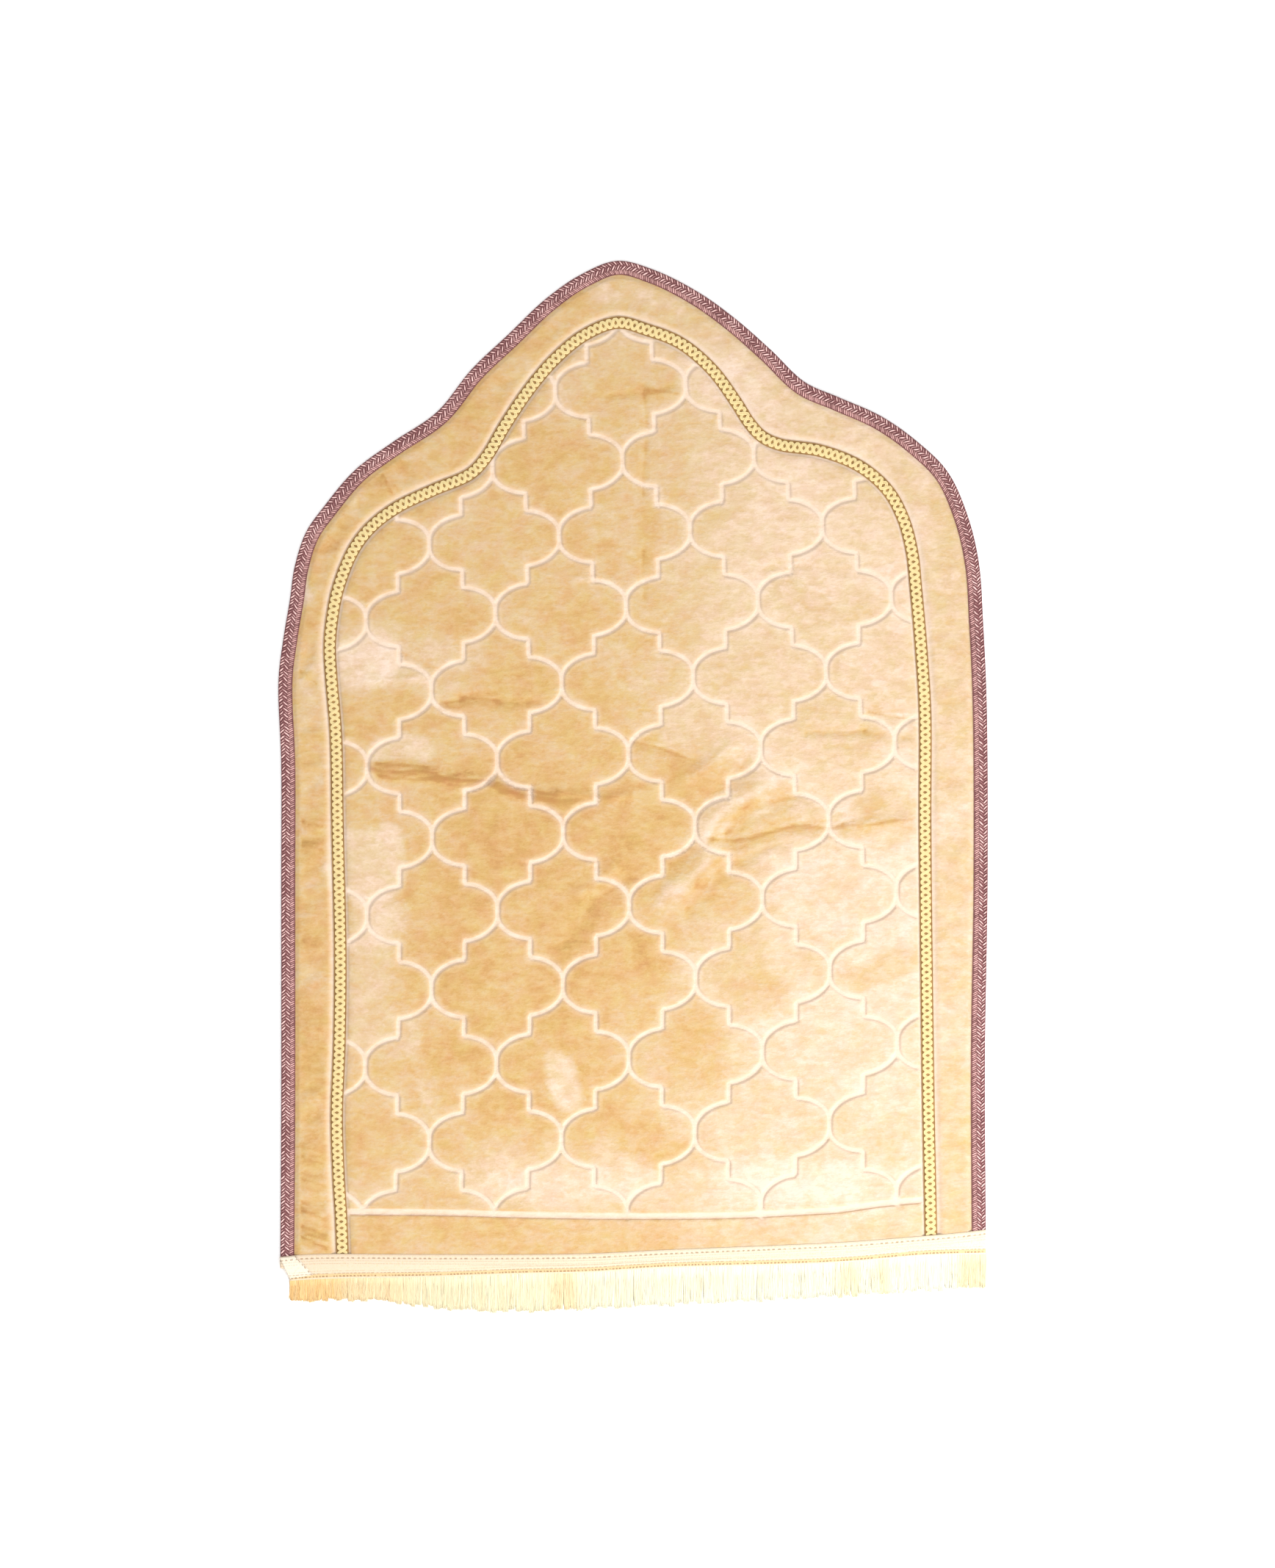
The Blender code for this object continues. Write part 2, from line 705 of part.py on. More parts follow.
def build_strands(material, group):
    """The fringe: three-sided strands from inside the heading's foot to their tips."""
    points = []
    faces = []
    for index, across in enumerate(np.linspace(STRAND_FIRST, STRAND_LAST, STRAND_COUNT)):
        root = heading_foot(across) + STRAND_ROOT
        lean, short = strand_sway(index)
        tip = fringe_tip(across) + STRAND_SHORT + short
        # share of the way to the tip, share of the width, height of the underside
        rings = ((0.0, 1.0, 0.2), (0.55, 1.0, 0.0), (1.0, 0.35, 0.0))
        start = len(points)
        for share, width, low in rings:
            x = across + lean * share * share
            y = root + (tip - root) * share
            half = STRAND_WIDE * width / 2
            tall = low + STRAND_TALL * (0.5 + 0.5 * width)
            points += [(x - half, y, low), (x + half, y, low), (x, y, tall)]
        faces.append([start, start + 1, start + 2])
        for ring in range(len(rings) - 1):
            for j in range(3):
                a = start + 3 * ring + j
                b = start + 3 * ring + (j + 1) % 3
                faces.append([a, b, b + 3, a + 3])
        end = start + 3 * (len(rings) - 1)
        faces.append([end, end + 1, end + 2])
    return make_object("fringe_strands", points, faces, material, group)


def fuse_strands(heading, strands):
    """Join the strands to the heading's foot as one solid."""
    join = heading.modifiers.new("strands", "BOOLEAN")
    join.operation = "UNION"
    join.solver = "EXACT"
    join.object = strands
    strands.hide_render = True
    strands.display_type = "WIRE"


def box_bottom_centre(group):
    """The bottom centre of the box round a collection's objects, modifiers included."""
    bpy.context.view_layer.update()
    corners = []
    graph = bpy.context.evaluated_depsgraph_get()
    for thing in group.objects:
        mesh = thing.evaluated_get(graph).to_mesh()
        corners += [tuple(v.co) for v in mesh.vertices]
    corners = np.array(corners)
    low, high = corners.min(axis=0), corners.max(axis=0)
    return np.array([(low[0] + high[0]) / 2, (low[1] + high[1]) / 2, low[2]])


def build_rug():
    """Build the whole rug."""
    clear_scene()
    rug = make_collection("prayer_rug")
    helpers = make_collection("prayer_rug_helpers")
    build_cloth(make_material("velour", VELOUR, 0.95), rug)
    build_gold_braid(make_material("gold gimp", GOLD, 0.6), rug)
    build_binding(make_material("mauve plait", MAUVE, 0.8), rug)
    heading = build_heading(make_material("cream tape", CREAM, 0.8), rug)
    strands = build_strands(heading.data.materials[0], helpers)
    fuse_strands(heading, strands)

    shift = box_bottom_centre(rug)
    for thing in (*rug.objects, *helpers.objects):
        thing.location = [-c for c in shift]
    print("shift to the box's bottom centre, mm:", [round(float(c) / MM, 2) for c in shift])


build_rug()
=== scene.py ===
# %% [markdown]
# # A padded prayer rug, finished over its frame
# The rug is a soft mat of golden velour with an arch at one end. A trellis is pressed into its pile,
# a gold gimp braid follows the arch, a mauve plait is folded over the edge, and a cream tape with a
# fringe closes the straight end. The frame gives four plain solids. Each gets one or more finer
# pieces here that lie where the solid lies, with the finish that the eye expects up close.

import math

import bmesh
import bpy
import numpy as np
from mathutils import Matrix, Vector
from mathutils.geometry import delaunay_2d_cdt
from mathutils.noise import noise_vector, seed_set


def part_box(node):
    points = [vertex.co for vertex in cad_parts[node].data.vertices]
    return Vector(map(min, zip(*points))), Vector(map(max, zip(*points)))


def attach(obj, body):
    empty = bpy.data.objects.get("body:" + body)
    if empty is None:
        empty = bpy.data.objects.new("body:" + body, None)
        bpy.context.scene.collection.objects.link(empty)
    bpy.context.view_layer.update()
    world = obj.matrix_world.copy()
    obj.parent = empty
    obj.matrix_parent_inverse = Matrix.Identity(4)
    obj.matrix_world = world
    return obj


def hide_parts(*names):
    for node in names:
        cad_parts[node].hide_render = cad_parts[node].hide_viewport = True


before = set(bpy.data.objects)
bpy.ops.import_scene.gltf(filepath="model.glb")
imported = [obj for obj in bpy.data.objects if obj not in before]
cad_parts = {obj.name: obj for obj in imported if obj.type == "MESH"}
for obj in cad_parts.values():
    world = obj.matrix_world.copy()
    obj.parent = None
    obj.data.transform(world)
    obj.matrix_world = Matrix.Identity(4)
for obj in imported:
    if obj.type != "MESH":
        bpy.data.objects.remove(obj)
bpy.context.view_layer.update()
print("pieces in the frame:", sorted(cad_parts))

# Without a seed Blender's noise follows the clock, and no two runs would be alike
NOISE_SEED = 4
seed_set(NOISE_SEED)

# %% [markdown]
# ## Sizes
# All lengths are in millimetres, as on a maker's pattern sheet, and `MM` turns them into Blender's
# metres. Heights are above the floor. They match the solids of the frame, so nothing grows.

# %% Sizes of the pieces
MM = 0.001

# Heights of the mat: its pile, its cut edge inside the binding, its hem under the heading
CLOTH_THICK = 5.0
EDGE_TOP = 3.3
EDGE_BOTTOM = 1.1
HEM_TOP = 1.8

# The binding: its reach over and under the mat, its cloth, and the room that the mat leaves it
BINDING_WIDE = 16.0
BINDING_UNDER = 9.0
BINDING_SKIN = 0.9
FOLD_GAP = 1.2
UNDER_CLEAR = 1.2
UNDER_ROLL = 2.0
PILE_CLEAR = 0.4
PILE_ROLL = 5.0

# The channel pressed for the gold braid: height of its floor, and half widths
CHANNEL_FLOOR = 3.0
CHANNEL_HALF = 8.0
CHANNEL_INSIDE = 11.0
CHANNEL_OUTSIDE = 14.5

# The pressed lines: half width of the floor and at the rim, depth, where a painted shadow on the
# pressed line's lower wall lies below its middle and its half width, and the reach of the shoulders
GROOVE_FLOOR = 1.7
GROOVE_RIM = 3.5
GROOVE_DEEP = 2.0
LINE_FLOOR = 2.6
LINE_RIM = 4.6
LINE_DEEP = 2.0
LINE_SHADOW_BELOW = 3.4
LINE_SHADOW_HALF = 1.3
CELL_DOME = 0.5
HALO_START = 2.0
HALO_REACH = 8.5
DOME_REACH = 16.0

# The heading: how far it covers what is tucked under it, its slope, and its two ends
TUCK = 4.0
HEM_INSIDE = 3.0
HEADING_SLOPE = 6.5
HEADING_END = 399.0
LEFT_SLANT = 11.0
print("cloth", CLOTH_THICK, "mm thick, grooves", GROOVE_DEEP, "mm deep")

# %% [markdown]
# ## The lines of the rug
# A sewn rug is never quite even: this one leans a little and its lower edge rises to the right. So
# its outlines are short tables of places, read off with a ruler, and a smooth curve runs through
# them. The first column is across, the second along, both from the middle of the rug's box.

# %% Tables of the outlines
# Outer edge of the binding, from the heading up the left side, over the tip, down to the heading
OUTER_EDGE = (
    (-399, -537), (-398, -355), (-398, -106), (-398, 27), (-401, 122), (-395, 172), (-388, 214),
    (-383, 249), (-370, 289), (-349, 319), (-315, 359), (-272, 391), (-222, 425), (-183, 473),
    (-141, 513), (-100, 552), (-60, 580), (-18, 596), (23, 586), (73, 561), (115, 531), (156, 495),
    (194, 459), (232, 442), (281, 420), (322, 391), (356, 357), (378, 309), (391, 255), (396, 185),
    (400, 93), (401, -106), (398, -305), (399, -513),
)
# Middle of the gold braid, the same way round
GOLD_LINE = (
    (-328, -542), (-330, -488), (-333, -438), (-335, -371), (-332, -288), (-331, -189), (-334, -48),
    (-336, 60), (-341, 122), (-343, 160), (-340, 193), (-333, 227), (-316, 269), (-296, 295),
    (-267, 317), (-225, 337), (-184, 355), (-166, 374), (-144, 411), (-117, 451), (-87, 486),
    (-53, 513), (-17, 526), (15, 518), (53, 503), (89, 473), (117, 435), (131, 413), (146, 397),
    (166, 388), (212, 381), (257, 363), (288, 336), (305, 305), (315, 268), (320, 222), (326, 152),
    (330, 85), (330, -39), (332, -230), (334, -371), (337, -521),
)
# Upper edge of the heading tape, left to right
HEADING_TOP = (
    (-399, -530), (-367, -527), (-226, -527), (-134, -527), (-51, -526), (32, -522), (239, -513),
    (305, -508), (364, -503), (399, -499),
)
# Foot of the heading tape, where the fringe leaves it
HEADING_FOOT = (
    (-399, -557), (-350, -554), (-226, -552), (-134, -549), (-51, -547), (32, -542), (231, -536),
    (330, -528), (399, -526),
)
# Tips of the fringe
FRINGE_TIPS = (
    (-387, -582), (-284, -582), (-226, -590), (-134, -594), (-51, -591), (32, -587), (156, -581),
    (247, -576), (322, -571), (399, -566),
)
# Line pressed across the cloth above the heading
PRESSED_LINE = (
    (-330, -479), (-217, -480), (-101, -483), (-2, -484), (115, -483), (198, -479), (231, -477),
    (281, -470), (336, -465),
)
print("outline knots:", len(OUTER_EDGE), "gold knots:", len(GOLD_LINE))

# %% [markdown]
# A Catmull-Rom curve goes through every knot without a corner. The centripetal kind is used because
# it makes no loops where two knots are close together, as they are round the arch.


# %% Curves through the tables
def smooth_line(knots, spacing=2.0):
    """A rounded curve through the knots, with a point about every spacing."""
    knots = np.array(knots, float)
    knots = np.vstack((2 * knots[:1] - knots[1:2], knots, 2 * knots[-1:] - knots[-2:-1]))
    points = []
    for p0, p1, p2, p3 in zip(knots, knots[1:], knots[2:], knots[3:]):
        t1 = math.sqrt(np.linalg.norm(p1 - p0))
        t2 = t1 + math.sqrt(np.linalg.norm(p2 - p1))
        t3 = t2 + math.sqrt(np.linalg.norm(p3 - p2))
        count = max(1, round(np.linalg.norm(p2 - p1) / spacing))
        for t in np.linspace(t1, t2, count, endpoint=False):
            a1 = ((t1 - t) * p0 + t * p1) / t1
            a2 = ((t2 - t) * p1 + (t - t1) * p2) / (t2 - t1)
            a3 = ((t3 - t) * p2 + (t - t2) * p3) / (t3 - t2)
            b1 = ((t2 - t) * a1 + t * a2) / t2
            b2 = ((t3 - t) * a2 + (t - t1) * a3) / (t3 - t1)
            points.append(((t2 - t) * b1 + (t - t1) * b2) / (t2 - t1))
    points.append(knots[-2])
    return np.array(points)


def height_of(knots):
    """A function from the place across the rug to the place along it, on a line of knots."""
    line = smooth_line(knots)
    return lambda across: np.interp(across, line[:, 0], line[:, 1])


def outward(line):
    """Unit normals to the left of the line's run, which is away from the rug's middle."""
    run = np.gradient(line, axis=0)
    run /= np.linalg.norm(run, axis=1)[:, None]
    return np.stack([-run[:, 1], run[:, 0]], axis=1)


def offset(line, distance):
    """The line moved outwards by the distance, or inwards where it is below nought."""
    return line + outward(line) * distance


def respaced(line, spacing):
    """The same line with its points an even spacing apart."""
    along = np.concatenate([[0], np.cumsum(np.linalg.norm(np.diff(line, axis=0), axis=1))])
    marks = np.linspace(0, along[-1], max(2, round(along[-1] / spacing) + 1))
    return np.stack([np.interp(marks, along, line[:, k]) for k in (0, 1)], axis=1)


heading_top = height_of(HEADING_TOP)
heading_foot = height_of(HEADING_FOOT)
fringe_tip = height_of(FRINGE_TIPS)
pressed_line = height_of(PRESSED_LINE)


def above_heading(line):
    """The part of a line down to where it is tucked under the heading."""
    return line[line[:, 1] > heading_top(line[:, 0]) - TUCK]


edge_line = above_heading(smooth_line(OUTER_EDGE))
gold_line = above_heading(smooth_line(GOLD_LINE))


def run_on(line, length=60.0):
    """The line with both ends carried straight on down the rug."""
    down = np.array([0.0, -length])
    return np.vstack([line[:1] + down, line, line[-1:] + down])


def line_length(line):
    """Length of a line of points."""
    return float(np.linalg.norm(np.diff(line, axis=0), axis=1).sum())


print("binding", round(line_length(edge_line)), "mm long, gold braid", round(line_length(gold_line)))

# %% [markdown]
# The frame's origin is the bottom centre of the whole rug's box, a fraction of a millimetre from the
# middle of the tables. The shift is measured on the frame's own binding, so it needs no guessing.

# %% Where the tables lie in the frame
binding_low, binding_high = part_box("edge_binding")
SHIFT = np.array([
    (binding_low.x + binding_high.x) / 2 / MM - (edge_line[:, 0].min() + edge_line[:, 0].max()) / 2,
    binding_high.y / MM - edge_line[:, 1].max(),
])
print("shift, mm:", SHIFT.round(2))

# %% [markdown]
# ## The camera
# The rug is seen from straight above, so the camera looks down the Z axis with a long lens, far
# away. It comes first because everything after it can then be judged through it.

# %% Camera straight above
VIEW_MIDDLE = (4.98, 4.15)
VIEW_TALL = 1772.0
LENS = 110.0
SENSOR = 36.0

bpy.ops.object.select_all(action="DESELECT")
distance = VIEW_TALL * LENS / SENSOR
bpy.ops.object.camera_add(
    location=(VIEW_MIDDLE[0] * MM, VIEW_MIDDLE[1] * MM, (distance + CLOTH_THICK) * MM),
    rotation=(0, 0, 0),
)
camera = bpy.context.object
camera.name = "view_from_above"
camera.data.lens = LENS
camera.data.sensor_width = SENSOR
camera.data.clip_end = 20
bpy.context.scene.camera = camera
print("camera", round(distance * MM, 2), "m above the rug")

# %% [markdown]
# ## The velour mat
# The mat is velour over a thin pad. A hot plate has pressed the trellis into it, so each cell stands
# up with rounded shoulders and each groove has a flat, shiny floor. A hand modeller would fill the
# outline and subdivide it, but an even grid would make the thin curved grooves look like stairs.
# Here rows of points follow every groove, shoulder and crease, looser points fill the rest, and
# Blender's own triangulation joins them: fine where the shape turns, coarse where it is flat.


# %% The trellis
COLUMN_PITCH = 149.2
COLUMN_MIDDLE = -9.6
COLUMN_LEAN = 9.1
ROW_PITCH = 84.6
ROW_TOP = 533.2
ROW_PULL = 12.0
ROW_RISE = 0.046
ROW_COUNT = 13
COLUMN_COUNT = 4
NECK_HALF = 0.072
STEP_START = 0.375
LOBE_REACH = 0.25
LOBE_FULLNESS = 1.8

# The cloth is stretched unevenly: how far each pull shifts the trellis at the reach of the pulls
PULL_ACROSS = 300.0
PULL_ALONG = 400.0
SIDE_PULL = 3.0
COLUMN_FAN = 2.8
COLUMN_BOW = 4.3
ROW_BOW = 6.3


def trellis_place(side, row):
    """A place on the trellis; side counts cells to the right, row counts rows down."""
    turn = math.pi * row / (ROW_COUNT - 1)
    y = ROW_TOP - ROW_PITCH * row + ROW_PULL * math.sin(turn)
    x = COLUMN_MIDDLE + COLUMN_LEAN * row / (ROW_COUNT - 1) + COLUMN_PITCH * side
    y += ROW_RISE * x
    u, v = x / PULL_ACROSS, y / PULL_ALONG
    x += SIDE_PULL * u * u - COLUMN_FAN * u * v - COLUMN_BOW * v * v
    return np.array([x, y - ROW_BOW * u * u * v])


def lobe(steps=14):
    """From a neck down round a lobe, down a step and round to the next neck, on the trellis."""
    arc = []
    for turn in np.linspace(0, math.pi / 2, steps):
        side = LOBE_REACH * (1 - abs(math.cos(turn)) ** (2 / LOBE_FULLNESS))
        row = NECK_HALF + (STEP_START - NECK_HALF) * math.sin(turn) ** (2 / LOBE_FULLNESS)
        arc.append((side, row))
    return arc + [(0.5 - side, 1 - row) for side, row in reversed(arc)]


def trellis_places(odd):
    """The necks of the trellis, or with odd the middles of its cells."""
    for row in range(ROW_COUNT):
        for half in range(-2 * COLUMN_COUNT, 2 * COLUMN_COUNT + 1):
            if (row + half) % 2 == odd:
                yield half / 2, row


def groove_lines():
    """The middles of all pressed grooves: necks, and the lobes below them."""
    lines = []
    for side, row in trellis_places(odd=0):
        ends = (row - NECK_HALF, row + NECK_HALF)
        lines.append(np.array([trellis_place(side, r) for r in ends]))
        for hand in (-1, 1):
            lines.append(np.array([trellis_place(side + hand * s, row + r) for s, r in lobe()]))
    return lines


def cell_loops():
    """The outline of each cell along the middles of its grooves, clockwise from its top."""
    quarter = [(0.5 - s, r) for s, r in lobe()]
    loops = []
    for side, row in trellis_places(odd=1):
        loop = [(s, -r) for s, r in quarter]
        loop += [(-s, -r) for s, r in reversed(quarter)]
        loop += [(-s, r) for s, r in quarter]
        loop += [(s, r) for s, r in reversed(quarter)]
        loops.append(np.array([trellis_place(side + s, row + r) for s, r in loop]))
    return loops


grooves = groove_lines()
cells = cell_loops()
print("trellis:", len(cells), "cells,", len(grooves), "groove lines")

# %% [markdown]
# Heights come from distances: how far a point is from the nearest groove, braid or edge says how
# deep it is pressed. One function measures the distance from many points to many lines at once.


# %% Measuring on the cloth
def ease(share):
    """A smooth step from nought to one."""
    share = np.clip(share, 0, 1)
    return share * share * (3 - 2 * share)


def distance_to(points, lines, reach=40.0):
    """Distance from each point to the nearest of the lines, at most the reach."""
    best = np.full(len(points), reach)
    for line in lines:
        low, high = line.min(axis=0) - reach, line.max(axis=0) + reach
        near = np.flatnonzero(np.all((points > low) & (points < high), axis=1))
        for a, b in zip(line, line[1:]):
            run = b - a
            rel = points[near] - a
            share = np.clip(rel @ run / (run @ run), 0, 1)
            gap = np.linalg.norm(rel - share[:, None] * run, axis=1)
            best[near] = np.minimum(best[near], gap)
    return best


def is_inside(points, outline):
    """Whether each point lies inside a closed outline."""
    inside = np.zeros(len(points), bool)
    for (x1, y1), (x2, y2) in zip(outline, np.roll(outline, -1, axis=0)):
        if y1 == y2:
            continue
        crosses = (y1 > points[:, 1]) != (y2 > points[:, 1])
        reach = x1 + (points[:, 1] - y1) * (x2 - x1) / (y2 - y1)
        inside ^= crosses & (points[:, 0] < reach)
    return inside


def moved_in(loop, distance, kept=0.93):
    """A closed loop moved inwards, without the points that the move folds over."""
    ahead = np.roll(loop, -1, axis=0) - loop
    loop = loop[np.linalg.norm(ahead, axis=1) > 1e-6]
    closed = respaced(np.vstack([loop, loop[:1]]), TOP_SPACING)
    loop = closed[:-1]
    ahead = np.roll(loop, -1, axis=0) - loop
    ahead /= np.linalg.norm(ahead, axis=1)[:, None]
    both = ahead + np.roll(ahead, 1, axis=0)
    normals = np.stack([-both[:, 1], both[:, 0]], axis=1)
    normals /= np.linalg.norm(normals, axis=1)[:, None]
    facing = -normals[:, 0] * ahead[:, 1] + normals[:, 1] * ahead[:, 0]
    moved = loop + normals * (distance / np.clip(facing, 0.5, 1))[:, None]
    return moved[distance_to(moved, [closed], 2 * distance) > kept * distance]


TOP_SPACING = 3.6
FILL_SPACING = 5.6
LONG_SPACING = 12.0
BELOW_ALL = -600
edge_run = respaced(run_on(edge_line), LONG_SPACING)
gold_run = respaced(run_on(gold_line), LONG_SPACING)
arch = np.vstack([gold_run, [[gold_run[-1, 0], BELOW_ALL], [gold_run[0, 0], BELOW_ALL]]])
print("edge measured by", len(edge_run), "points, gold by", len(gold_run))

# %% [markdown]
# The rug has been folded and packed, so it lies with soft ridges and troughs. Each row of the table
# is one of them: where it starts and ends, how high it stands (a trough is below nought), how wide
# it is, and how much painted shade goes along it, for the shadow that the fold throws (a painted
# highlight on its lit side is above nought). The painted shade is drawn as a few fine lines along the
# wrinkle, which wander as real creases do.

# %% Wrinkles
# from (across, along), to (across, along), height, half width, painted shade (a highlight above
# nought)
WRINKLES = (
    ((-298, 23), (-222, 15), 1.8, 6.5, -1.5),
    ((-290, 29), (-232, 22), 0.5, 4.5, -1.1),
    ((-286, 14), (-198, 8), 0.5, 4.5, -1.0),
    ((-150, -5), (-66, -16), 0.5, 4.5, -1.0),
    ((-222, 15), (-156, 3), 1.6, 6.5, -1.6),
    ((-156, 3), (-86, -6), 1.5, 6.0, -1.3),
    ((-86, -6), (-4, -10), 1.2, 5.0, -0.7),
    ((-160, 5), (-110, -12), 0.8, 4.5, -0.9),
    ((-110, -12), (-60, -13), 0.6, 4.5, -0.7),
    ((-218, 92), (-194, 100), -1.0, 7.0, -1.4),
    ((-194, 100), (-152, 99), -1.2, 6.0, -1.1),
    ((-152, 97), (-108, 96), -1.0, 5.0, -0.7),
    ((152, 10), (82, -52), 2.2, 17.0, 1.6),
    ((184, -4), (104, -48), -1.6, 13.0, -0.9),
    ((84, -60), (236, -40), -1.5, 10.0, -1.4),
    ((126, 30), (90, -8), -1.3, 10.0, -0.7),
    ((236, -40), (318, -38), 1.2, 7.0, -1.1),
    ((88, -72), (36, -130), 2.0, 17.0, 1.5),
    ((66, -70), (22, -116), -1.3, 11.0, -0.5),
    ((110, -86), (60, -136), -1.2, 11.0, -0.6),
    ((266, 84), (320, 80), -1.2, 7.0, -0.9),
    ((18, 452), (50, 444), 1.0, 6.0, -1.1),
    ((12, 300), (14, 350), -0.8, 14.0, -0.4),
    ((13, 330), (14, 452), -0.8, 5.0, -0.6),
    ((12, 214), (13, 268), -0.7, 5.0, -0.7),
    ((-77, -172), (-6, -98), -1.4, 13.0, -0.4),
    ((-60, -120), (-20, -88), 1.2, 8.0, 0.5),
    ((196, 60), (262, 66), -1.1, 5.0, -0.7),
    ((262, 66), (318, 52), -0.9, 5.0, -0.6),
    ((-6, 52), (70, 34), -1.2, 7.0, -1.0),
    ((60, 12), (112, 46), 1.4, 8.0, 0.6),
    ((112, -86), (176, -62), -1.2, 7.0, -0.5),
    ((-150, 455), (-96, 470), -0.8, 5.0, -0.4),
    ((-30, 440), (40, 452), -0.8, 5.0, -0.6),
    ((-62, 236), (-20, 232), 0.8, 5.0, 0.5),
    ((150, 250), (240, 246), -0.8, 6.0, -0.4),
    ((-262, 150), (-222, 138), -0.9, 5.0, -0.5),
    ((-300, 118), (-236, 128), 0.9, 6.0, 0.5),
    ((-382, -508), (-340, -521), 1.8, 8.0, -1.4),
    ((-380, -494), (-358, -496), 1.0, 7.0, -0.7),
    ((-382, -477), (-344, -488), 1.4, 8.0, -1.1),
    ((-382, -445), (-346, -449), 1.1, 8.0, -0.9),
    ((-380, -404), (-352, -408), 0.8, 6.0, -0.4),
    ((-380, -350), (-356, -344), 0.8, 6.0, -0.3),
    ((-382, -66), (-346, -70), 0.9, 6.0, -1.0),
    ((-374, -60), (-350, -55), -0.6, 6.0, -0.4),
    ((-382, 26), (-350, 20), 0.9, 6.0, -0.4),
    ((-382, 58), (-350, 60), 0.9, 6.0, -0.4),
    ((-380, 120), (-352, 140), 0.9, 6.0, 0.6),
    ((-376, 150), (-350, 158), -0.8, 6.0, -0.4),
)
WRINKLE_LOW = -1.8
WRINKLE_HIGH = 2.4
WRINKLE_FADE = 9.0
WRINKLE_SPACING = 3.2
# how far a wrinkle sways and its fine lines wander, as shares of its half width, and their waves
SWAY = 0.35
SWAY_LENGTH = 17.0
WANDER = 0.3
WANDER_LENGTH = 9.0
# the painted shade lines of one wrinkle: offset and half width as shares of its own, and strength
CREASE_SHADE_LINES = (
    (0.0, 0.30, 1.0), (0.8, 0.28, 0.4), (-0.85, 0.26, 0.35), (0.45, 0.24, -0.5), (0.0, 1.0, 0.15),
)
# no fine line is thinner than the mesh can carry, and where many meet the painted shade levels off
LINE_LEAST = 2.4
SHADE_MOST = 1.3


def wrinkle_field(points, table):
    """Height of the wrinkles at each point, and the shade and highlight painted along them."""
    height = np.zeros(len(points))
    shade = np.zeros(len(points))
    for start, end, tall, half, tone in table:
        a = np.array(start, float)
        run = np.array(end, float) - a
        rel = points - a
        share = rel @ run / (run @ run)
        length = np.linalg.norm(run)
        sway = SWAY * half * np.sin(share * length / SWAY_LENGTH + a[0])
        side = np.array([-run[1], run[0]]) / length
        past = (share - np.clip(share, 0, 1)) * length
        aside = rel @ side - sway
        height += tall * np.exp(-(np.hypot(aside, past) / half) ** 2)
        for place, fine, part in CREASE_SHADE_LINES:
            wander = WANDER * half * np.sin(share * length / WANDER_LENGTH + 5 * place)
            off = np.hypot(aside - place * half - wander * (place != 0), past)
            shade += tone * part * np.exp(-(off / max(fine * half, LINE_LEAST)) ** 2)
    return np.clip(height, WRINKLE_LOW, WRINKLE_HIGH), SHADE_MOST * np.tanh(shade / SHADE_MOST)


WRINKLE_STEPS = (-1.8, -1.2, -0.9, -0.6, -0.3, 0.0, 0.3, 0.6, 0.9, 1.2, 1.8)


def wrinkle_rows(table, steps):
    """Rows of points along every wrinkle, close enough together to carry it."""
    rows = []
    for start, end, _, half, _ in table:
        run = np.array(end, float) - start
        length = np.linalg.norm(run)
        side = half * np.array([-run[1], run[0]]) / length
        for share in np.linspace(-0.05, 1.05, max(3, round(length / WRINKLE_SPACING))):
            rows += [np.array(start) + run * share + side * k for k in steps]
    return np.array(rows)


print("wrinkles:", len(WRINKLES))

# %% [markdown]
# The stitching of the binding has drawn the cloth together into many short creases, which run inwards
# from the edge. They are too many to place by hand and too uneven for a pattern, so a seeded random
# source deals them out. They are strongest on the left, where the cloth is pulled the most. Like the
# wrinkles, each has a line of painted shade along it, a painted highlight where its value is above
# nought.

# %% Puckers
PUCKER_STEP = 16.0
PUCKER_INSET = 18.0
PUCKER_SEED = 5
PUCKER_LEAN = 0.45
PUCKER_LENGTH = (16, 38)
PUCKER_HEIGHTS = (-0.8, 0.9)
# mean and spread of the shade painted along each pucker; a painted highlight is above nought
PUCKER_PAINTED_SHADE = (-0.1, 0.5)
PUCKER_HALF = (4.5, 7.5)
PUCKER_STEPS = (-1.2, -0.5, 0.0, 0.5, 1.2)
PULLED_LEFT_OF = -250
LESS_PULLED = 0.45


def pucker_rows():
    """Short creases along the binding with their painted shade, as rows like those of the wrinkles."""
    source = np.random.default_rng(PUCKER_SEED)
    edge = respaced(edge_line, PUCKER_STEP)
    near = offset(edge, -PUCKER_INSET)
    rows = []
    for place, ahead, inwards in zip(near, near[1:], (near - edge) / PUCKER_INSET):
        lean = (ahead - place) * source.normal(0, PUCKER_LEAN)
        start = place + (ahead - place) * source.random()
        end = start + inwards * source.uniform(*PUCKER_LENGTH) + lean
        strong = 1.0 if place[0] < PULLED_LEFT_OF else LESS_PULLED
        height = source.choice(PUCKER_HEIGHTS) * strong
        tone = source.normal(*PUCKER_PAINTED_SHADE) * strong
        rows.append((start, end, height, source.uniform(*PUCKER_HALF), tone))
    return rows


puckers = pucker_rows()
print("puckers:", len(puckers))

# %% [markdown]
# Now the height of the pile. The deepest of all the presses wins at each point, as under a real
# plate, and a wrinkle only shows where nothing holds the cloth down. The same pass returns where
# the pile is pressed flat, because flat pile is paler, and the shade and highlight painted along the
# wrinkles and under the pressed line, for the light on their sides; both are painted so later.


# %% Height of the pile
# how far a pressed line holds a wrinkle down, the fade of painted shades, the darkness of the
# painted shadow under the pressed line, shares of flat pile
PRESSED_HOLD = 0.5
SHADE_FADE = 3.0
LINE_SHADOW_DARK = 2.0
HALO_SHARE = 0.38
CHANNEL_FLAT = 0.75


def pressed_by(distance, floor, rim):
    """One on a groove's floor, nought from its rim outwards."""
    return 1 - ease((distance - floor) / (rim - floor))


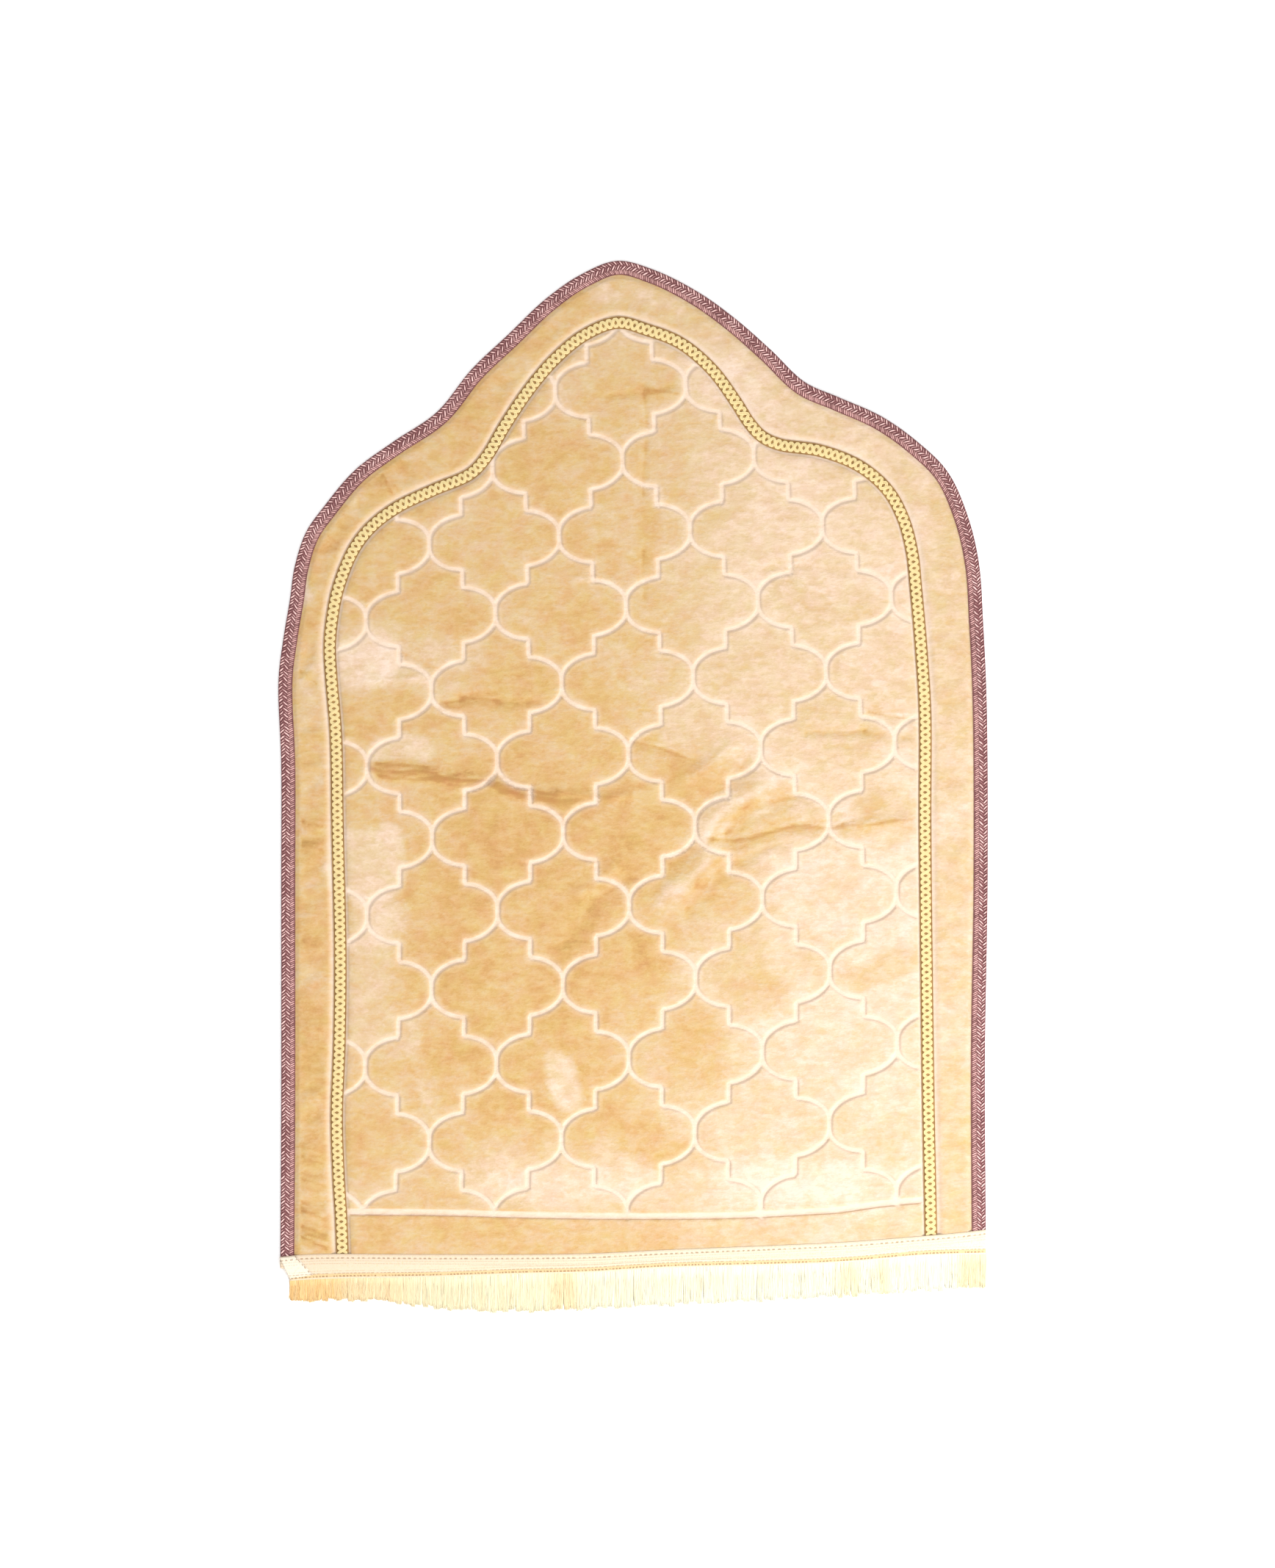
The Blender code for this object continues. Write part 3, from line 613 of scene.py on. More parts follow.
def cloth_top(points):
    """Height of the pile, how far it is pressed flat, and the shade and highlight painted on it."""
    inset = distance_to(points, [edge_run])
    from_gold = distance_to(points, [gold_run])
    from_groove = distance_to(points, grooves, 20.0)
    from_line = np.abs(points[:, 1] - pressed_line(points[:, 0]))
    inner = is_inside(points, arch)
    under_arch = inner & (points[:, 1] > pressed_line(points[:, 0]) - LINE_RIM)
    below_tape = heading_top(points[:, 0]) - points[:, 1]
    reach = heading_top(points[:, 0]) - heading_foot(points[:, 0]) - HEM_INSIDE - HEADING_SLOPE
    wide = np.where(inner, CHANNEL_INSIDE, CHANNEL_OUTSIDE)

    groove = pressed_by(from_groove, GROOVE_FLOOR, GROOVE_RIM) * under_arch
    line = pressed_by(from_line, LINE_FLOOR, LINE_RIM) * inner
    channel = pressed_by(from_gold, CHANNEL_HALF, wide)
    binding = pressed_by(inset, BINDING_WIDE + PILE_CLEAR, BINDING_WIDE + PILE_CLEAR + PILE_ROLL)
    tape = np.clip((below_tape - HEADING_SLOPE) / reach, 0, 1)
    drops = (
        GROOVE_DEEP * groove,
        LINE_DEEP * line,
        (CLOTH_THICK - EDGE_TOP) * binding,
        (CLOTH_THICK - CHANNEL_FLOOR) * channel,
        (CLOTH_THICK - HEM_TOP) * tape,
    )
    inside_binding = inset - BINDING_WIDE - PILE_CLEAR - PILE_ROLL
    room = np.min([from_gold - wide, inside_binding, -below_tape], axis=0)
    free = ease(room / WRINKLE_FADE)
    bump, shade = wrinkle_field(points, list(WRINKLES) + puckers)
    lying = 1 - PRESSED_HOLD * np.max([groove, line], axis=0)
    dome = CELL_DOME * ease((from_groove - GROOVE_RIM) / DOME_REACH) * under_arch
    height = CLOTH_THICK - np.max(drops, axis=0) + bump * free * lying + dome * free
    # a painted shadow on the lower wall of the pressed line, which faces away from the light
    line_shadow = 1 - ease(np.abs(pressed_line(points[:, 0]) - LINE_SHADOW_BELOW - points[:, 1]) / LINE_SHADOW_HALF)
    shade = shade * ease(room / SHADE_FADE) - LINE_SHADOW_DARK * line_shadow * inner * (from_gold > wide)
    halo = pressed_by(from_groove, HALO_START, HALO_REACH)
    halo = (1 - HALO_SHARE) * groove + HALO_SHARE * halo * under_arch
    flat = np.max([halo, line, CHANNEL_FLAT * channel * (from_gold < wide)], axis=0)
    return height, flat, shade


def cloth_bottom(points):
    """Height of the underside, lifted where the binding is folded under it."""
    inset = distance_to(points, [edge_run])
    return EDGE_BOTTOM * (1 - ease((inset - BINDING_UNDER - UNDER_CLEAR) / UNDER_ROLL))


# %% [markdown]
# Brushed velour has lighter and darker fields where a hand or a fold has laid the pile over. Some
# fields are painted light and shade as well: a broad pale field over the right side, where the lamp
# is strongest, and darker fields round the folds in the middle, where they throw their shadow. Each
# row of the table is one field: its middle, half its size each way, its turn, how pale it is
# (dark is below nought), and how softly it ends. A vertex attribute carries the sum to the finish.

# %% Fields of brushed pile and of painted light and shade
# across, along, half width, half length, turn in degrees, paleness, softness
NAP_AND_LIGHT_FIELDS = (
    # the broad pale field over the right side is painted light, where the lamp is strongest
    (240, 60, 205, 680, 0, 0.30, 0.60),
    (262, -230, 165, 320, 0, 0.10, 0.45),
    (268, 215, 70, 95, 0, 0.10, 0.50),
    (-300, 143, 36, 34, 8, 0.34, 0.35),
    (-340, 150, 14, 60, 0, 0.10, 0.60),
    (-300, -86, 46, 42, 0, 0.34, 0.12),
    (-292, -154, 38, 32, 0, 0.14, 0.10),
    (-262, 44, 38, 15, 0, 0.22, 0.15),
    (-225, 140, 56, 34, 0, 0.13, 0.40),
    (-238, -320, 11, 52, 16, 0.20, 0.25),
    (-95, -428, 98, 42, 0, 0.11, 0.20),
    (-300, -190, 34, 60, 0, 0.12, 0.30),
    (-300, -275, 34, 34, 0, 0.10, 0.50),
    (-80, -330, 17, 36, 12, 0.42, 0.22),
    (-110, -130, 128, 230, 0, -0.10, 0.30),
    (-205, 55, 52, 15, 0, 0.12, 0.50),
    (-30, -450, 250, 26, 0, 0.26, 0.70),
    (260, -455, 90, 26, 0, 0.06, 0.50),
    (-240, -445, 70, 22, 0, -0.08, 0.60),
    (15, 285, 13, 42, 0, -0.14, 0.35),
    (12, 160, 12, 30, 0, -0.12, 0.40),
    (281, -205, 44, 15, 15, -0.26, 0.50),
    # darker fields round the folds in the middle: painted shade where the folds throw their shadow
    (108, -14, 88, 36, -12, -0.30, 0.50),
    (26, -62, 40, 48, 0, -0.24, 0.50),
    (128, -180, 26, 26, 0, -0.22, 0.60),
    (78, -290, 34, 60, 0, -0.12, 0.50),
    (190, -205, 44, 30, 0, -0.14, 0.50),
    (355, -60, 26, 460, 0, -0.10, 0.50),
    (105, -106, 46, 42, 0, -0.30, 0.50),
    (28, -178, 26, 26, 0, -0.30, 0.50),
    (131, -227, 34, 26, 0, -0.26, 0.50),
    (228, 130, 52, 110, 0, -0.12, 0.50),
    (285, -31, 32, 30, 0, -0.20, 0.50),
    (65, -305, 36, 34, -20, -0.12, 0.40),
    (20, -400, 60, 20, -30, -0.12, 0.50),
    (-22, 556, 14, 11, 0, 0.24, 0.50),
    (-16, 566, 5, 6, 0, -0.2, 0.50),
    (-371, 228, 8, 22, 0, 0.50, 0.50),
    (-362, 135, 20, 40, 0, 0.16, 0.50),
    (-366, 60, 18, 60, 0, 0.08, 0.60),
    (-362, -150, 14, 320, 0, -0.06, 0.50),
    (-60, 478, 60, 30, 30, 0.10, 0.50),
    (110, 450, 60, 30, -40, 0.14, 0.50),
)

# how much of the waves below moves the fields' edges
WAVER = 0.6


def nap_and_light_field(points):
    """Paleness from brushed pile and painted light and shade; a few slow waves make the fields uneven.
    """
    x, y = points[:, 0], points[:, 1]
    waver = np.stack([
        5.0 * np.sin(y / 17.0) + 3.0 * np.sin(y / 7.3 + x / 31.0),
        5.0 * np.sin(x / 19.0) + 3.0 * np.sin(x / 8.1 - y / 27.0),
    ], axis=1)
    points = points + waver * WAVER
    total = np.zeros(len(points))
    for across, along, half_wide, half_long, turn, pale, soft in NAP_AND_LIGHT_FIELDS:
        c, s = math.cos(math.radians(turn)), math.sin(math.radians(turn))
        rel = points - (across, along)
        u = (rel[:, 0] * c + rel[:, 1] * s) / half_wide
        v = (rel[:, 1] * c - rel[:, 0] * s) / half_long
        out = (np.abs(u) ** 3 + np.abs(v) ** 3) ** (1 / 3)
        total += pale * (1 - ease((out - 1 + soft) / (2 * soft)))
    return total


print("brushed fields:", len(NAP_AND_LIGHT_FIELDS))

# %% [markdown]
# The points are gathered in order of importance: outline, grooves, rings inside each cell, the
# braid's channel, wrinkles, and then an even filling. A later point that comes too close to an
# earlier one is dropped, so no sliver triangles catch the light.


# %% Points of the cloth
# how far from the middles of the lines the rows of points run beside them
CELL_ROWS = (0.9, GROOVE_FLOOR, 2.6, GROOVE_RIM, 5.4, 9.0)
GOLD_ROWS = (-11.0, -10.0, -9.0, -8.0, 0.0, 8.0, 9.5, 11.0, 12.5, 14.5, 17.0)
EDGE_ROWS = (8.0, 12.5, 16.4, 17.5, 18.7, 20.0, 21.4, 24.0)
LINE_ROWS = (-7.0, -4.6, -3.6, -2.6, 0.0, 2.6, 3.6, 4.6, 7.0)
HEADING_ROWS = (-6.0, -2.0, 2.0, HEADING_SLOPE, 14.0, 20.0)
LINE_ENDS = (-330, 336)
HEADING_ENDS = (-396, 397)
HEADING_SPACING = 6.0
OUTLINE_SPACING = TOP_SPACING * 1.5
HEM_POINTS = 110
HEM_CORNER = 2
RIM_CLEAR = 1.2


def cloth_outline():
    """The cut edge of the cloth, inside the fold of the binding and of the heading."""
    sides = respaced(offset(edge_line, -FOLD_GAP), OUTLINE_SPACING)
    left, right = sides[0][0], sides[-1][0]
    across = np.linspace(right, left + LEFT_SLANT, HEM_POINTS)
    hem = np.stack([across, heading_foot(across) + HEM_INSIDE], axis=1)
    return np.vstack([sides, hem, [[left, heading_top(left) - HEADING_SLOPE - HEM_CORNER]]])


def ring_rows():
    """Points in rows along grooves, cell shoulders, channel, binding and pressed line."""
    rows = [respaced(line, TOP_SPACING) for line in grooves]
    rows += [moved_in(cell, ring) for ring in CELL_ROWS for cell in cells]
    rows = np.vstack(rows)
    rows = rows[is_inside(rows, arch) & (rows[:, 1] > pressed_line(rows[:, 0]) + LINE_RIM + 1)]
    rows = rows[distance_to(rows, [gold_run]) > CHANNEL_HALF + 0.5]
    long_rows = [offset(gold_run_fine, out) for out in GOLD_ROWS]
    long_rows += [offset(edge_run_fine, -inside) for inside in EDGE_ROWS]
    across = np.arange(*LINE_ENDS, TOP_SPACING)
    long_rows += [np.stack([across, pressed_line(across) + up], axis=1) for up in LINE_ROWS]
    across = np.arange(*HEADING_ENDS, HEADING_SPACING)
    long_rows += [np.stack([across, heading_top(across) - down], axis=1) for down in HEADING_ROWS]
    return rows, np.vstack(long_rows)


def filling(low, high, spacing):
    """An even field of points in staggered rows."""
    points = []
    for row, y in enumerate(np.arange(low[1], high[1], spacing * math.sqrt(3) / 2)):
        shift = spacing / 2 * (row % 2)
        points += [(x, y) for x in np.arange(low[0] + shift, high[0], spacing)]
    return np.array(points)


def thinned(groups):
    """All points of (points, nearest allowed) groups, later ones kept clear of earlier ones."""
    kept = []
    taken = {}
    for points, clear in groups:
        for x, y in points:
            column, row = int(x // 1), int(y // 1)
            span = math.ceil(clear)
            near = (
                other
                for i in range(column - span, column + span + 1)
                for j in range(row - span, row + span + 1)
                for other in taken.get((i, j), ())
            )
            if all((x - ox) ** 2 + (y - oy) ** 2 >= clear * clear for ox, oy in near):
                taken.setdefault((column, row), []).append((x, y))
                kept.append((x, y))
    return np.array(kept)


edge_run_fine = respaced(run_on(edge_line), TOP_SPACING)
gold_run_fine = respaced(run_on(gold_line), TOP_SPACING)
outline = cloth_outline()
cell_points, long_points = ring_rows()
wrinkle_points = wrinkle_rows(WRINKLES, WRINKLE_STEPS)
pucker_points = wrinkle_rows(puckers, PUCKER_STEPS)
loose_points = filling(outline.min(axis=0), outline.max(axis=0), FILL_SPACING)
cloth_points = thinned([
    (outline, 0.0), (cell_points, 0.7), (long_points, 0.9), (wrinkle_points, 1.1),
    (pucker_points, 1.3), (loose_points, 3.6),
])
cloth_points = cloth_points[len(outline):]
from_rim = distance_to(cloth_points, [np.vstack([outline, outline[:1]])], 5.0)
cloth_points = cloth_points[is_inside(cloth_points, outline) & (from_rim > RIM_CLEAR)]
print("cloth points:", len(cloth_points))

# %% [markdown]
# The mat is a top and an underside, both triangulated inside the same cut outline, with a wall
# between them. The underside is plain, so its points are far apart. What the finish has to know at
# each point of the top is kept in attributes: how flat the pile is pressed, the shade and highlight
# painted along the wrinkles, and how it is brushed, together with broad painted light and shade.


# %% Build the cloth
BOTTOM_SPACING = 20.0
WELD_WITHIN = 0.01


def fill_flat(rim, points):
    """Triangles inside the rim, through all the points."""
    coords = [tuple(p) for p in rim] + [tuple(p) for p in points]
    edges = [(i, (i + 1) % len(rim)) for i in range(len(rim))]
    inside_only = 1
    coords, _, faces, _, _, _ = delaunay_2d_cdt(coords, edges, [], inside_only, WELD_WITHIN)
    return np.array([tuple(c) for c in coords]), [list(face) for face in faces]


def in_frame(points):
    """Points of the tables, moved to where they lie in the frame and turned into metres."""
    points = np.array(points, float)
    points[:, :2] += SHIFT
    return points * MM


def make_piece(name, points, faces):
    """One smooth mesh object from points in metres."""
    mesh = bpy.data.meshes.new(name)
    mesh.from_pydata(np.array(points).tolist(), [], faces)
    mesh.validate()
    mesh.shade_smooth()
    piece = bpy.data.objects.new(name, mesh)
    bpy.context.scene.collection.objects.link(piece)
    return piece


def face_outwards(piece):
    """Turn every face of a closed piece outwards."""
    work = bmesh.new()
    work.from_mesh(piece.data)
    bmesh.ops.recalc_face_normals(work, faces=work.faces)
    work.to_mesh(piece.data)
    work.free()


def paint(piece, name, values):
    """Keep one number for each point of a piece, for its finish to read."""
    attribute = piece.data.attributes.new(name, "FLOAT", "POINT")
    attribute.data.foreach_set("value", np.array(values, np.float32))


top, top_faces = fill_flat(outline, cloth_points)
top_height, top_flat, top_painted_shade = cloth_top(top)
bottom_points = filling(outline.min(axis=0), outline.max(axis=0), BOTTOM_SPACING)
bottom, bottom_faces = fill_flat(outline, bottom_points)
count = len(top)
used = {(a, b) for face in top_faces for a, b in zip(face, face[1:] + face[:1])}
rim = [(a, b) for a, b in used if (b, a) not in used]
places = {tuple(np.round(p, 2)): count + i for i, p in enumerate(bottom)}
walls = [
    (places[tuple(np.round(top[a], 2))], places[tuple(np.round(top[b], 2))], b, a) for a, b in rim
]
mat_points = np.vstack([
    np.column_stack([top, top_height]), np.column_stack([bottom, cloth_bottom(bottom)]),
])
mat_faces = top_faces + [[count + i for i in reversed(face)] for face in bottom_faces] + walls
velour_mat = make_piece("velour_mat", in_frame(mat_points), mat_faces)
face_outwards(velour_mat)
under = np.zeros(len(bottom))
paint(velour_mat, "pressed", np.concatenate([top_flat, under]))
# painted shade and highlight of the wrinkles and puckers, and the painted shadow under the pressed
# line
paint(velour_mat, "crease_painted_shade", np.concatenate([top_painted_shade, under]))
# how the pile is brushed, with painted light and shade in the same fields
paint(velour_mat, "nap_and_light", np.concatenate([nap_and_light_field(top), under]))
print("velour mat:", len(mat_faces), "faces")

# %% [markdown]
# ## Rows that bend
# The gold gimp and the plaited edge repeat one short unit some hundreds of times. By hand one would
# model a single unit, put an Array modifier on it for the row and a Curve modifier to bend the row
# round the rug. The same is done here, and the unit is stretched a hair so that a whole number of
# them fits the line.


# %% Array along a line
JOIN_WITHIN = 0.04


def select_only(piece):
    """Make this piece the only one that an operator acts on."""
    bpy.ops.object.select_all(action="DESELECT")
    piece.select_set(True)
    bpy.context.view_layer.objects.active = piece


def apply_all(piece):
    """Apply every modifier of a piece, in order."""
    select_only(piece)
    for modifier in list(piece.modifiers):
        bpy.ops.object.modifier_apply(modifier=modifier.name)


def lay_along(name, unit, line, pitch):
    """Repeat a unit of the given pitch in a row and bend the row onto the line."""
    points, faces = unit
    piece = make_piece(name, np.array(points, float) * MM, faces)
    route = bpy.data.curves.new(piece.name + "_route", "CURVE")
    route.dimensions = "2D"
    spline = route.splines.new("POLY")
    spline.points.add(len(line) - 1)
    for point, (x, y) in zip(spline.points, line + SHIFT):
        point.co = (x * MM, y * MM, 0, 1)
    path = bpy.data.objects.new(route.name, route)
    bpy.context.scene.collection.objects.link(path)
    length = line_length(line)
    count = round(length / pitch)
    for vertex in piece.data.vertices:
        vertex.co.x *= length / count / pitch
    row = piece.modifiers.new("row", "ARRAY")
    row.count = count
    row.use_relative_offset = False
    row.use_constant_offset = True
    row.constant_offset_displace = (length / count * MM, 0, 0)
    row.use_merge_vertices = True
    row.merge_threshold = JOIN_WITHIN * MM
    bend = piece.modifiers.new("bend", "CURVE")
    bend.object = path
    bend.deform_axis = "POS_X"
    apply_all(piece)
    bpy.data.objects.remove(path)
    print(piece.name, "has", count, "units,", len(piece.data.polygons), "faces")
    return piece


def strand_unit(paths, section):
    """Tubes with one cross-section along many short paths of (along, across, height) points."""
    points = []
    faces = []
    size = len(section)
    for path in paths:
        path = np.array(path, float)
        run = np.gradient(path[:, :2], axis=0)
        run /= np.linalg.norm(run, axis=1)[:, None]
        start = len(points)
        for place, (dx, dy) in zip(path, run):
            points += [(place[0] - dy * w, place[1] + dx * w, place[2] + h) for w, h in section]
        for ring in range(len(path) - 1):
            for j in range(size):
                a = start + ring * size + j
                b = start + ring * size + (j + 1) % size
                faces.append([a, b, b + size, a + size])
    return points, faces


def straight_path(pitch, across=0, height=0):
    """A straight path through one unit, with a point halfway for the bend."""
    return [(0, across, height), (pitch / 2, across, height), (pitch, across, height)]


def ring_section(radius, sides, squash=1.0):
    """A round cross-section as (across, height) pairs."""
    turns = [2 * math.pi * (i + 0.5) / sides for i in range(sides)]
    return [(radius * math.cos(t), radius * squash * math.sin(t)) for t in turns]


# %% [markdown]
# ## The gold gimp braid
# Two bundles of three shiny cords swing from side to side in mirrored waves. One bundle passes over
# the other each time, so they leave a row of open eyes down the middle and notches at both sides. A
# finer brown cord runs along each edge, and a flat woven ground shows through the eyes.

# %% Gold gimp braid
GIMP_PERIOD = 14.5
GIMP_SWING = 4.5
GIMP_CORD = 0.64
GIMP_SPREAD = 1.15
GIMP_MIDDLE = 4.15
GIMP_LIFT = 0.28
GIMP_DOME = 0.1
GIMP_FLATNESS = 0.62
GIMP_STEPS = 10
GIMP_EDGE = 6.9
EDGE_HEIGHT = 3.6
EDGE_RIPPLE = 0.12
EDGE_CORD = 0.42
EDGE_STEPS = 6
GROUND_HALF = 7.1
GROUND_HEIGHT = 3.4


def gimp_paths():
    """The wavy cords of one period of the gimp."""
    paths = []
    along = np.linspace(0, GIMP_PERIOD, GIMP_STEPS + 1)
    turn = 2 * math.pi * along / GIMP_PERIOD
    for hand in (-1, 1):
        slope = hand * GIMP_SWING * 2 * math.pi / GIMP_PERIOD * np.cos(turn)
        lean = 1 / np.hypot(1, slope)
        for cord in (-1, 0, 1):
            x = along - slope * lean * GIMP_SPREAD * cord
            y = hand * GIMP_SWING * np.sin(turn) + lean * GIMP_SPREAD * cord
            z = GIMP_MIDDLE + hand * GIMP_LIFT * np.cos(turn) ** 2 + GIMP_DOME * (cord == 0)
            paths.append(np.column_stack([x, y, z]))
    return paths


def gimp_edges():
    """The straight cord along each edge of the gimp, with a slight ripple."""
    along = np.linspace(0, GIMP_PERIOD, EDGE_STEPS + 1)
    ripple = EDGE_RIPPLE * np.cos(4 * math.pi * along / GIMP_PERIOD)
    height = np.full(len(along), EDGE_HEIGHT)
    return [np.column_stack([along, hand * (GIMP_EDGE + ripple), height]) for hand in (-1, 1)]


GROUND_SECTION = (
    (-GROUND_HALF, -0.15), (-GROUND_HALF, 0.1), (0, 0.2), (GROUND_HALF, 0.1), (GROUND_HALF, -0.15),
)
cord_unit = strand_unit(gimp_paths(), ring_section(GIMP_CORD, 5, GIMP_FLATNESS))
ground_unit = strand_unit([straight_path(GIMP_PERIOD, 0, GROUND_HEIGHT)], GROUND_SECTION)
edge_unit = strand_unit(gimp_edges(), ring_section(EDGE_CORD, 4))
gold_cords = lay_along("gold_cords", cord_unit, gold_line, GIMP_PERIOD)
gold_ground = lay_along("gold_ground", ground_unit, gold_line, GIMP_PERIOD)
gold_edges = lay_along("gold_edges", edge_unit, gold_line, GIMP_PERIOD)

# %% [markdown]
# ## The plaited binding
# The edge is closed by a plaited braid, folded over the cut edge. Its outer part is a herringbone of
# twin strands: each rises at the braid's outer edge, runs slanting to the middle and dives under the
# next one from the other side. Towards the mat it ends in a flat strip with slanting ribs and a dark
# cord. One unit holds one pair of twin strands from each side and the ribs beside them. The second
# twin lies a little lower, as a strand does where the next pair presses on it.

# %% Mauve plait
PLAIT_PITCH = 7.0
PLAIT_EDGE = -0.7
PLAIT_CENTRE = -5.3
PLAIT_INNER = -10.1
STRIP_INNER = -15.2
PLAIT_TOP = 4.9
TWIN_GAP = 3.3
TWIN_LOWER = 0.6
STRAND_HALF = 0.74
STRAND_FLATNESS = 0.7
# how far a strand runs: past the middle, and along the braid as a share of a pitch
STRAND_REACH = 1.22
STRAND_RUN = 0.75
# the share of its arch where a strand starts, and how far it dives at its end
ARCH_START = 0.13
STRAND_DIVE = 0.5
# each side of the plait: where its strands start across, along as a share of a pitch, and height
PLAIT_SIDES = ((PLAIT_EDGE, 0.0, 3.5), (PLAIT_INNER, 0.5, 4.1))
# ribs of the strip: where each starts along, as a share of a pitch, and how much lower it lies
STRIP_RIBS = ((0.0, 0.0), (0.33, 0.15), (0.67, 0.4))
STRIP_HEIGHT = 4.2
RIB_START = 0.3
RIB_RUN = 0.4
RIB_DOME = 0.25
RIB_HALF = 0.95
RIB_FLATNESS = 0.45
# the dark cord beside the strip
CORD_BESIDE = 0.4
CORD_HEIGHT = 3.95
# the height of a point changes less than its place where a braid is uneven
LEVEL_SHARE = 0.4


def herringbone_paths():
    """The twin strands of one pitch, from each side of the plait to its middle."""
    paths = []
    shares = np.linspace(0, 1, 6)
    rise = np.sin(math.pi * (ARCH_START + (1 - ARCH_START) * shares))
    dive = STRAND_DIVE * shares**3
    for start, late, low in PLAIT_SIDES:
        for twin in (0, 1):
            across = start + (PLAIT_CENTRE - start) * STRAND_REACH * shares
            along = (late + shares * STRAND_RUN) * PLAIT_PITCH + TWIN_GAP * twin
            height = low + (PLAIT_TOP - low) * rise - dive - TWIN_LOWER * twin
            paths.append(np.column_stack([along, across, height]))
    return paths


def strip_paths():
    """The slanting ribs of the flat strip beside the plait."""
    shares = np.linspace(0, 1, 4)
    paths = []
    for rib, lower in STRIP_RIBS:
        across = PLAIT_INNER + RIB_START + (STRIP_INNER - PLAIT_INNER) * shares
        along = (rib + shares * RIB_RUN) * PLAIT_PITCH
        height = STRIP_HEIGHT - lower + RIB_DOME * np.sin(math.pi * shares)
        paths.append(np.column_stack([along, across, height]))
    return paths


def closed_strands(paths, section):
    """Tubes as in strand_unit, with both ends closed."""
    points, faces = strand_unit(paths, section)
    size = len(section)
    start = 0
    for path in paths:
        end = start + (len(path) - 1) * size
        faces.append([start + i for i in reversed(range(size))])
        faces.append([end + i for i in range(size)])
        start = end + size
    return points, faces


def uneven(piece, amount, size, seed):
    """Shift the points of a finished braid a little, so that no two units are quite alike."""
    for vertex in piece.data.vertices:
        place = vertex.co / (size * MM) + Vector((seed, 0, 0))
        shift = noise_vector(place) * amount * MM
        vertex.co += Vector((shift.x, shift.y, LEVEL_SHARE * shift.z))


strand_ring = ring_section(STRAND_HALF, 5, STRAND_FLATNESS)
plait_unit = closed_strands(herringbone_paths(), strand_ring)
strip_unit = closed_strands(strip_paths(), ring_section(RIB_HALF, 4, RIB_FLATNESS))
cord_path = straight_path(PLAIT_PITCH, STRIP_INNER - CORD_BESIDE, CORD_HEIGHT)
cord_unit = strand_unit([cord_path], ring_section(EDGE_CORD, 4))
mauve_plait = lay_along("mauve_plait", plait_unit, edge_line, PLAIT_PITCH)
uneven(mauve_plait, amount=0.75, size=5.0, seed=3)
mauve_strip = lay_along("mauve_strip", strip_unit, edge_line, PLAIT_PITCH)
uneven(mauve_strip, amount=0.5, size=6.0, seed=8)
mauve_cord = lay_along("mauve_cord", cord_unit, edge_line, PLAIT_PITCH)

# %% [markdown]
# Under the plait lies the woven cloth of the binding, one strip that wraps the mat's edge from above
# to below. It is a single cross-section, drawn once and carried along the same line.

# %% Fold of the binding
FOLD_SECTION = (
    (-BINDING_UNDER, 0.05), (-1.0, 0.05), (-0.1, 1.2), (-0.1, 3.0), (-1.2, 3.7),
    (PLAIT_CENTRE, 4.0), (PLAIT_INNER, 4.0), (STRIP_INNER, 3.85), (-BINDING_WIDE, EDGE_TOP + 0.35),
    (-BINDING_SKIN, EDGE_TOP + 0.3), (-BINDING_SKIN, EDGE_BOTTOM - 0.3),
    (-BINDING_UNDER, EDGE_BOTTOM - 0.3),
)
fold_unit = strand_unit([straight_path(PLAIT_PITCH)], FOLD_SECTION)
binding_fold = lay_along("binding_fold", fold_unit, edge_line, PLAIT_PITCH)

# %% [markdown]
# ## The heading tape
# A woven cream tape covers the mat's straight edge and the ends of both braids, and slopes down to
# the floor, where the fringe leaves it. It starts as a plain grid, whose rows are laid on the two
# slanting lines of the tape. Lengthwise ribs, the dips of the stitching and a seam at its foot are
# modelled by the heights of the rows. Solidify gives it the thickness of a woven tape.

# %% Heading tape
TAPE_COLUMNS = 300
TAPE_THICK = 0.5
TAPE_RIPPLE = 0.08
NO_SIDE = 99.0
# rows of the tape: how far down from its top line, and the height there
ROWS_FROM_TOP = (
    (0.0, 5.15), (0.6, 5.75), (2.0, 6.35), (3.8, 6.45), (4.3, 6.1), (4.9, 6.1), (5.4, 6.5),
    (6.6, 6.5), (7.4, 6.15), (8.2, 6.35), (9.6, 6.3), (10.4, 5.9), (11.2, 6.05), (12.6, 5.75),
)
# and the rows below those: how far up from its foot line, and the height there
ROWS_FROM_FOOT = (
    (11.4, 5.1), (10.4, 5.0), (8.8, 4.6), (8.0, 4.15), (7.2, 4.1), (5.8, 3.75), (5.2, 3.3),
    (4.5, 3.5), (3.2, 3.35), (2.2, 3.15), (1.6, 2.75), (0.9, 2.9), (0.0, 2.6), (-0.9, 2.1),
    (-1.3, 1.4),
)
TAPE_ROWS = [("top", *row) for row in ROWS_FROM_TOP] + [("foot", *row) for row in ROWS_FROM_FOOT]


def tape_row(share, row):
    """A place on a row of the tape, at a share of the way across, and the height there."""
    line, away, height = TAPE_ROWS[row]
    start = -HEADING_END if line == "top" else -HEADING_END + LEFT_SLANT
    across = start + (HEADING_END - start) * share
    if line == "top":
        return across, heading_top(across) - away, height
    return across, heading_foot(across) + away, height


def grid_piece(name, columns, rows):
    """A plain grid, and for each of its points the share across and the number of its row."""
    bpy.ops.object.select_all(action="DESELECT")
    bpy.ops.mesh.primitive_grid_add(x_subdivisions=columns, y_subdivisions=rows, size=1)
    piece = bpy.context.object
    piece.name = name
    shares = [(v.co.x + 0.5, round((0.5 - v.co.y) * rows)) for v in piece.data.vertices]
    return piece, shares


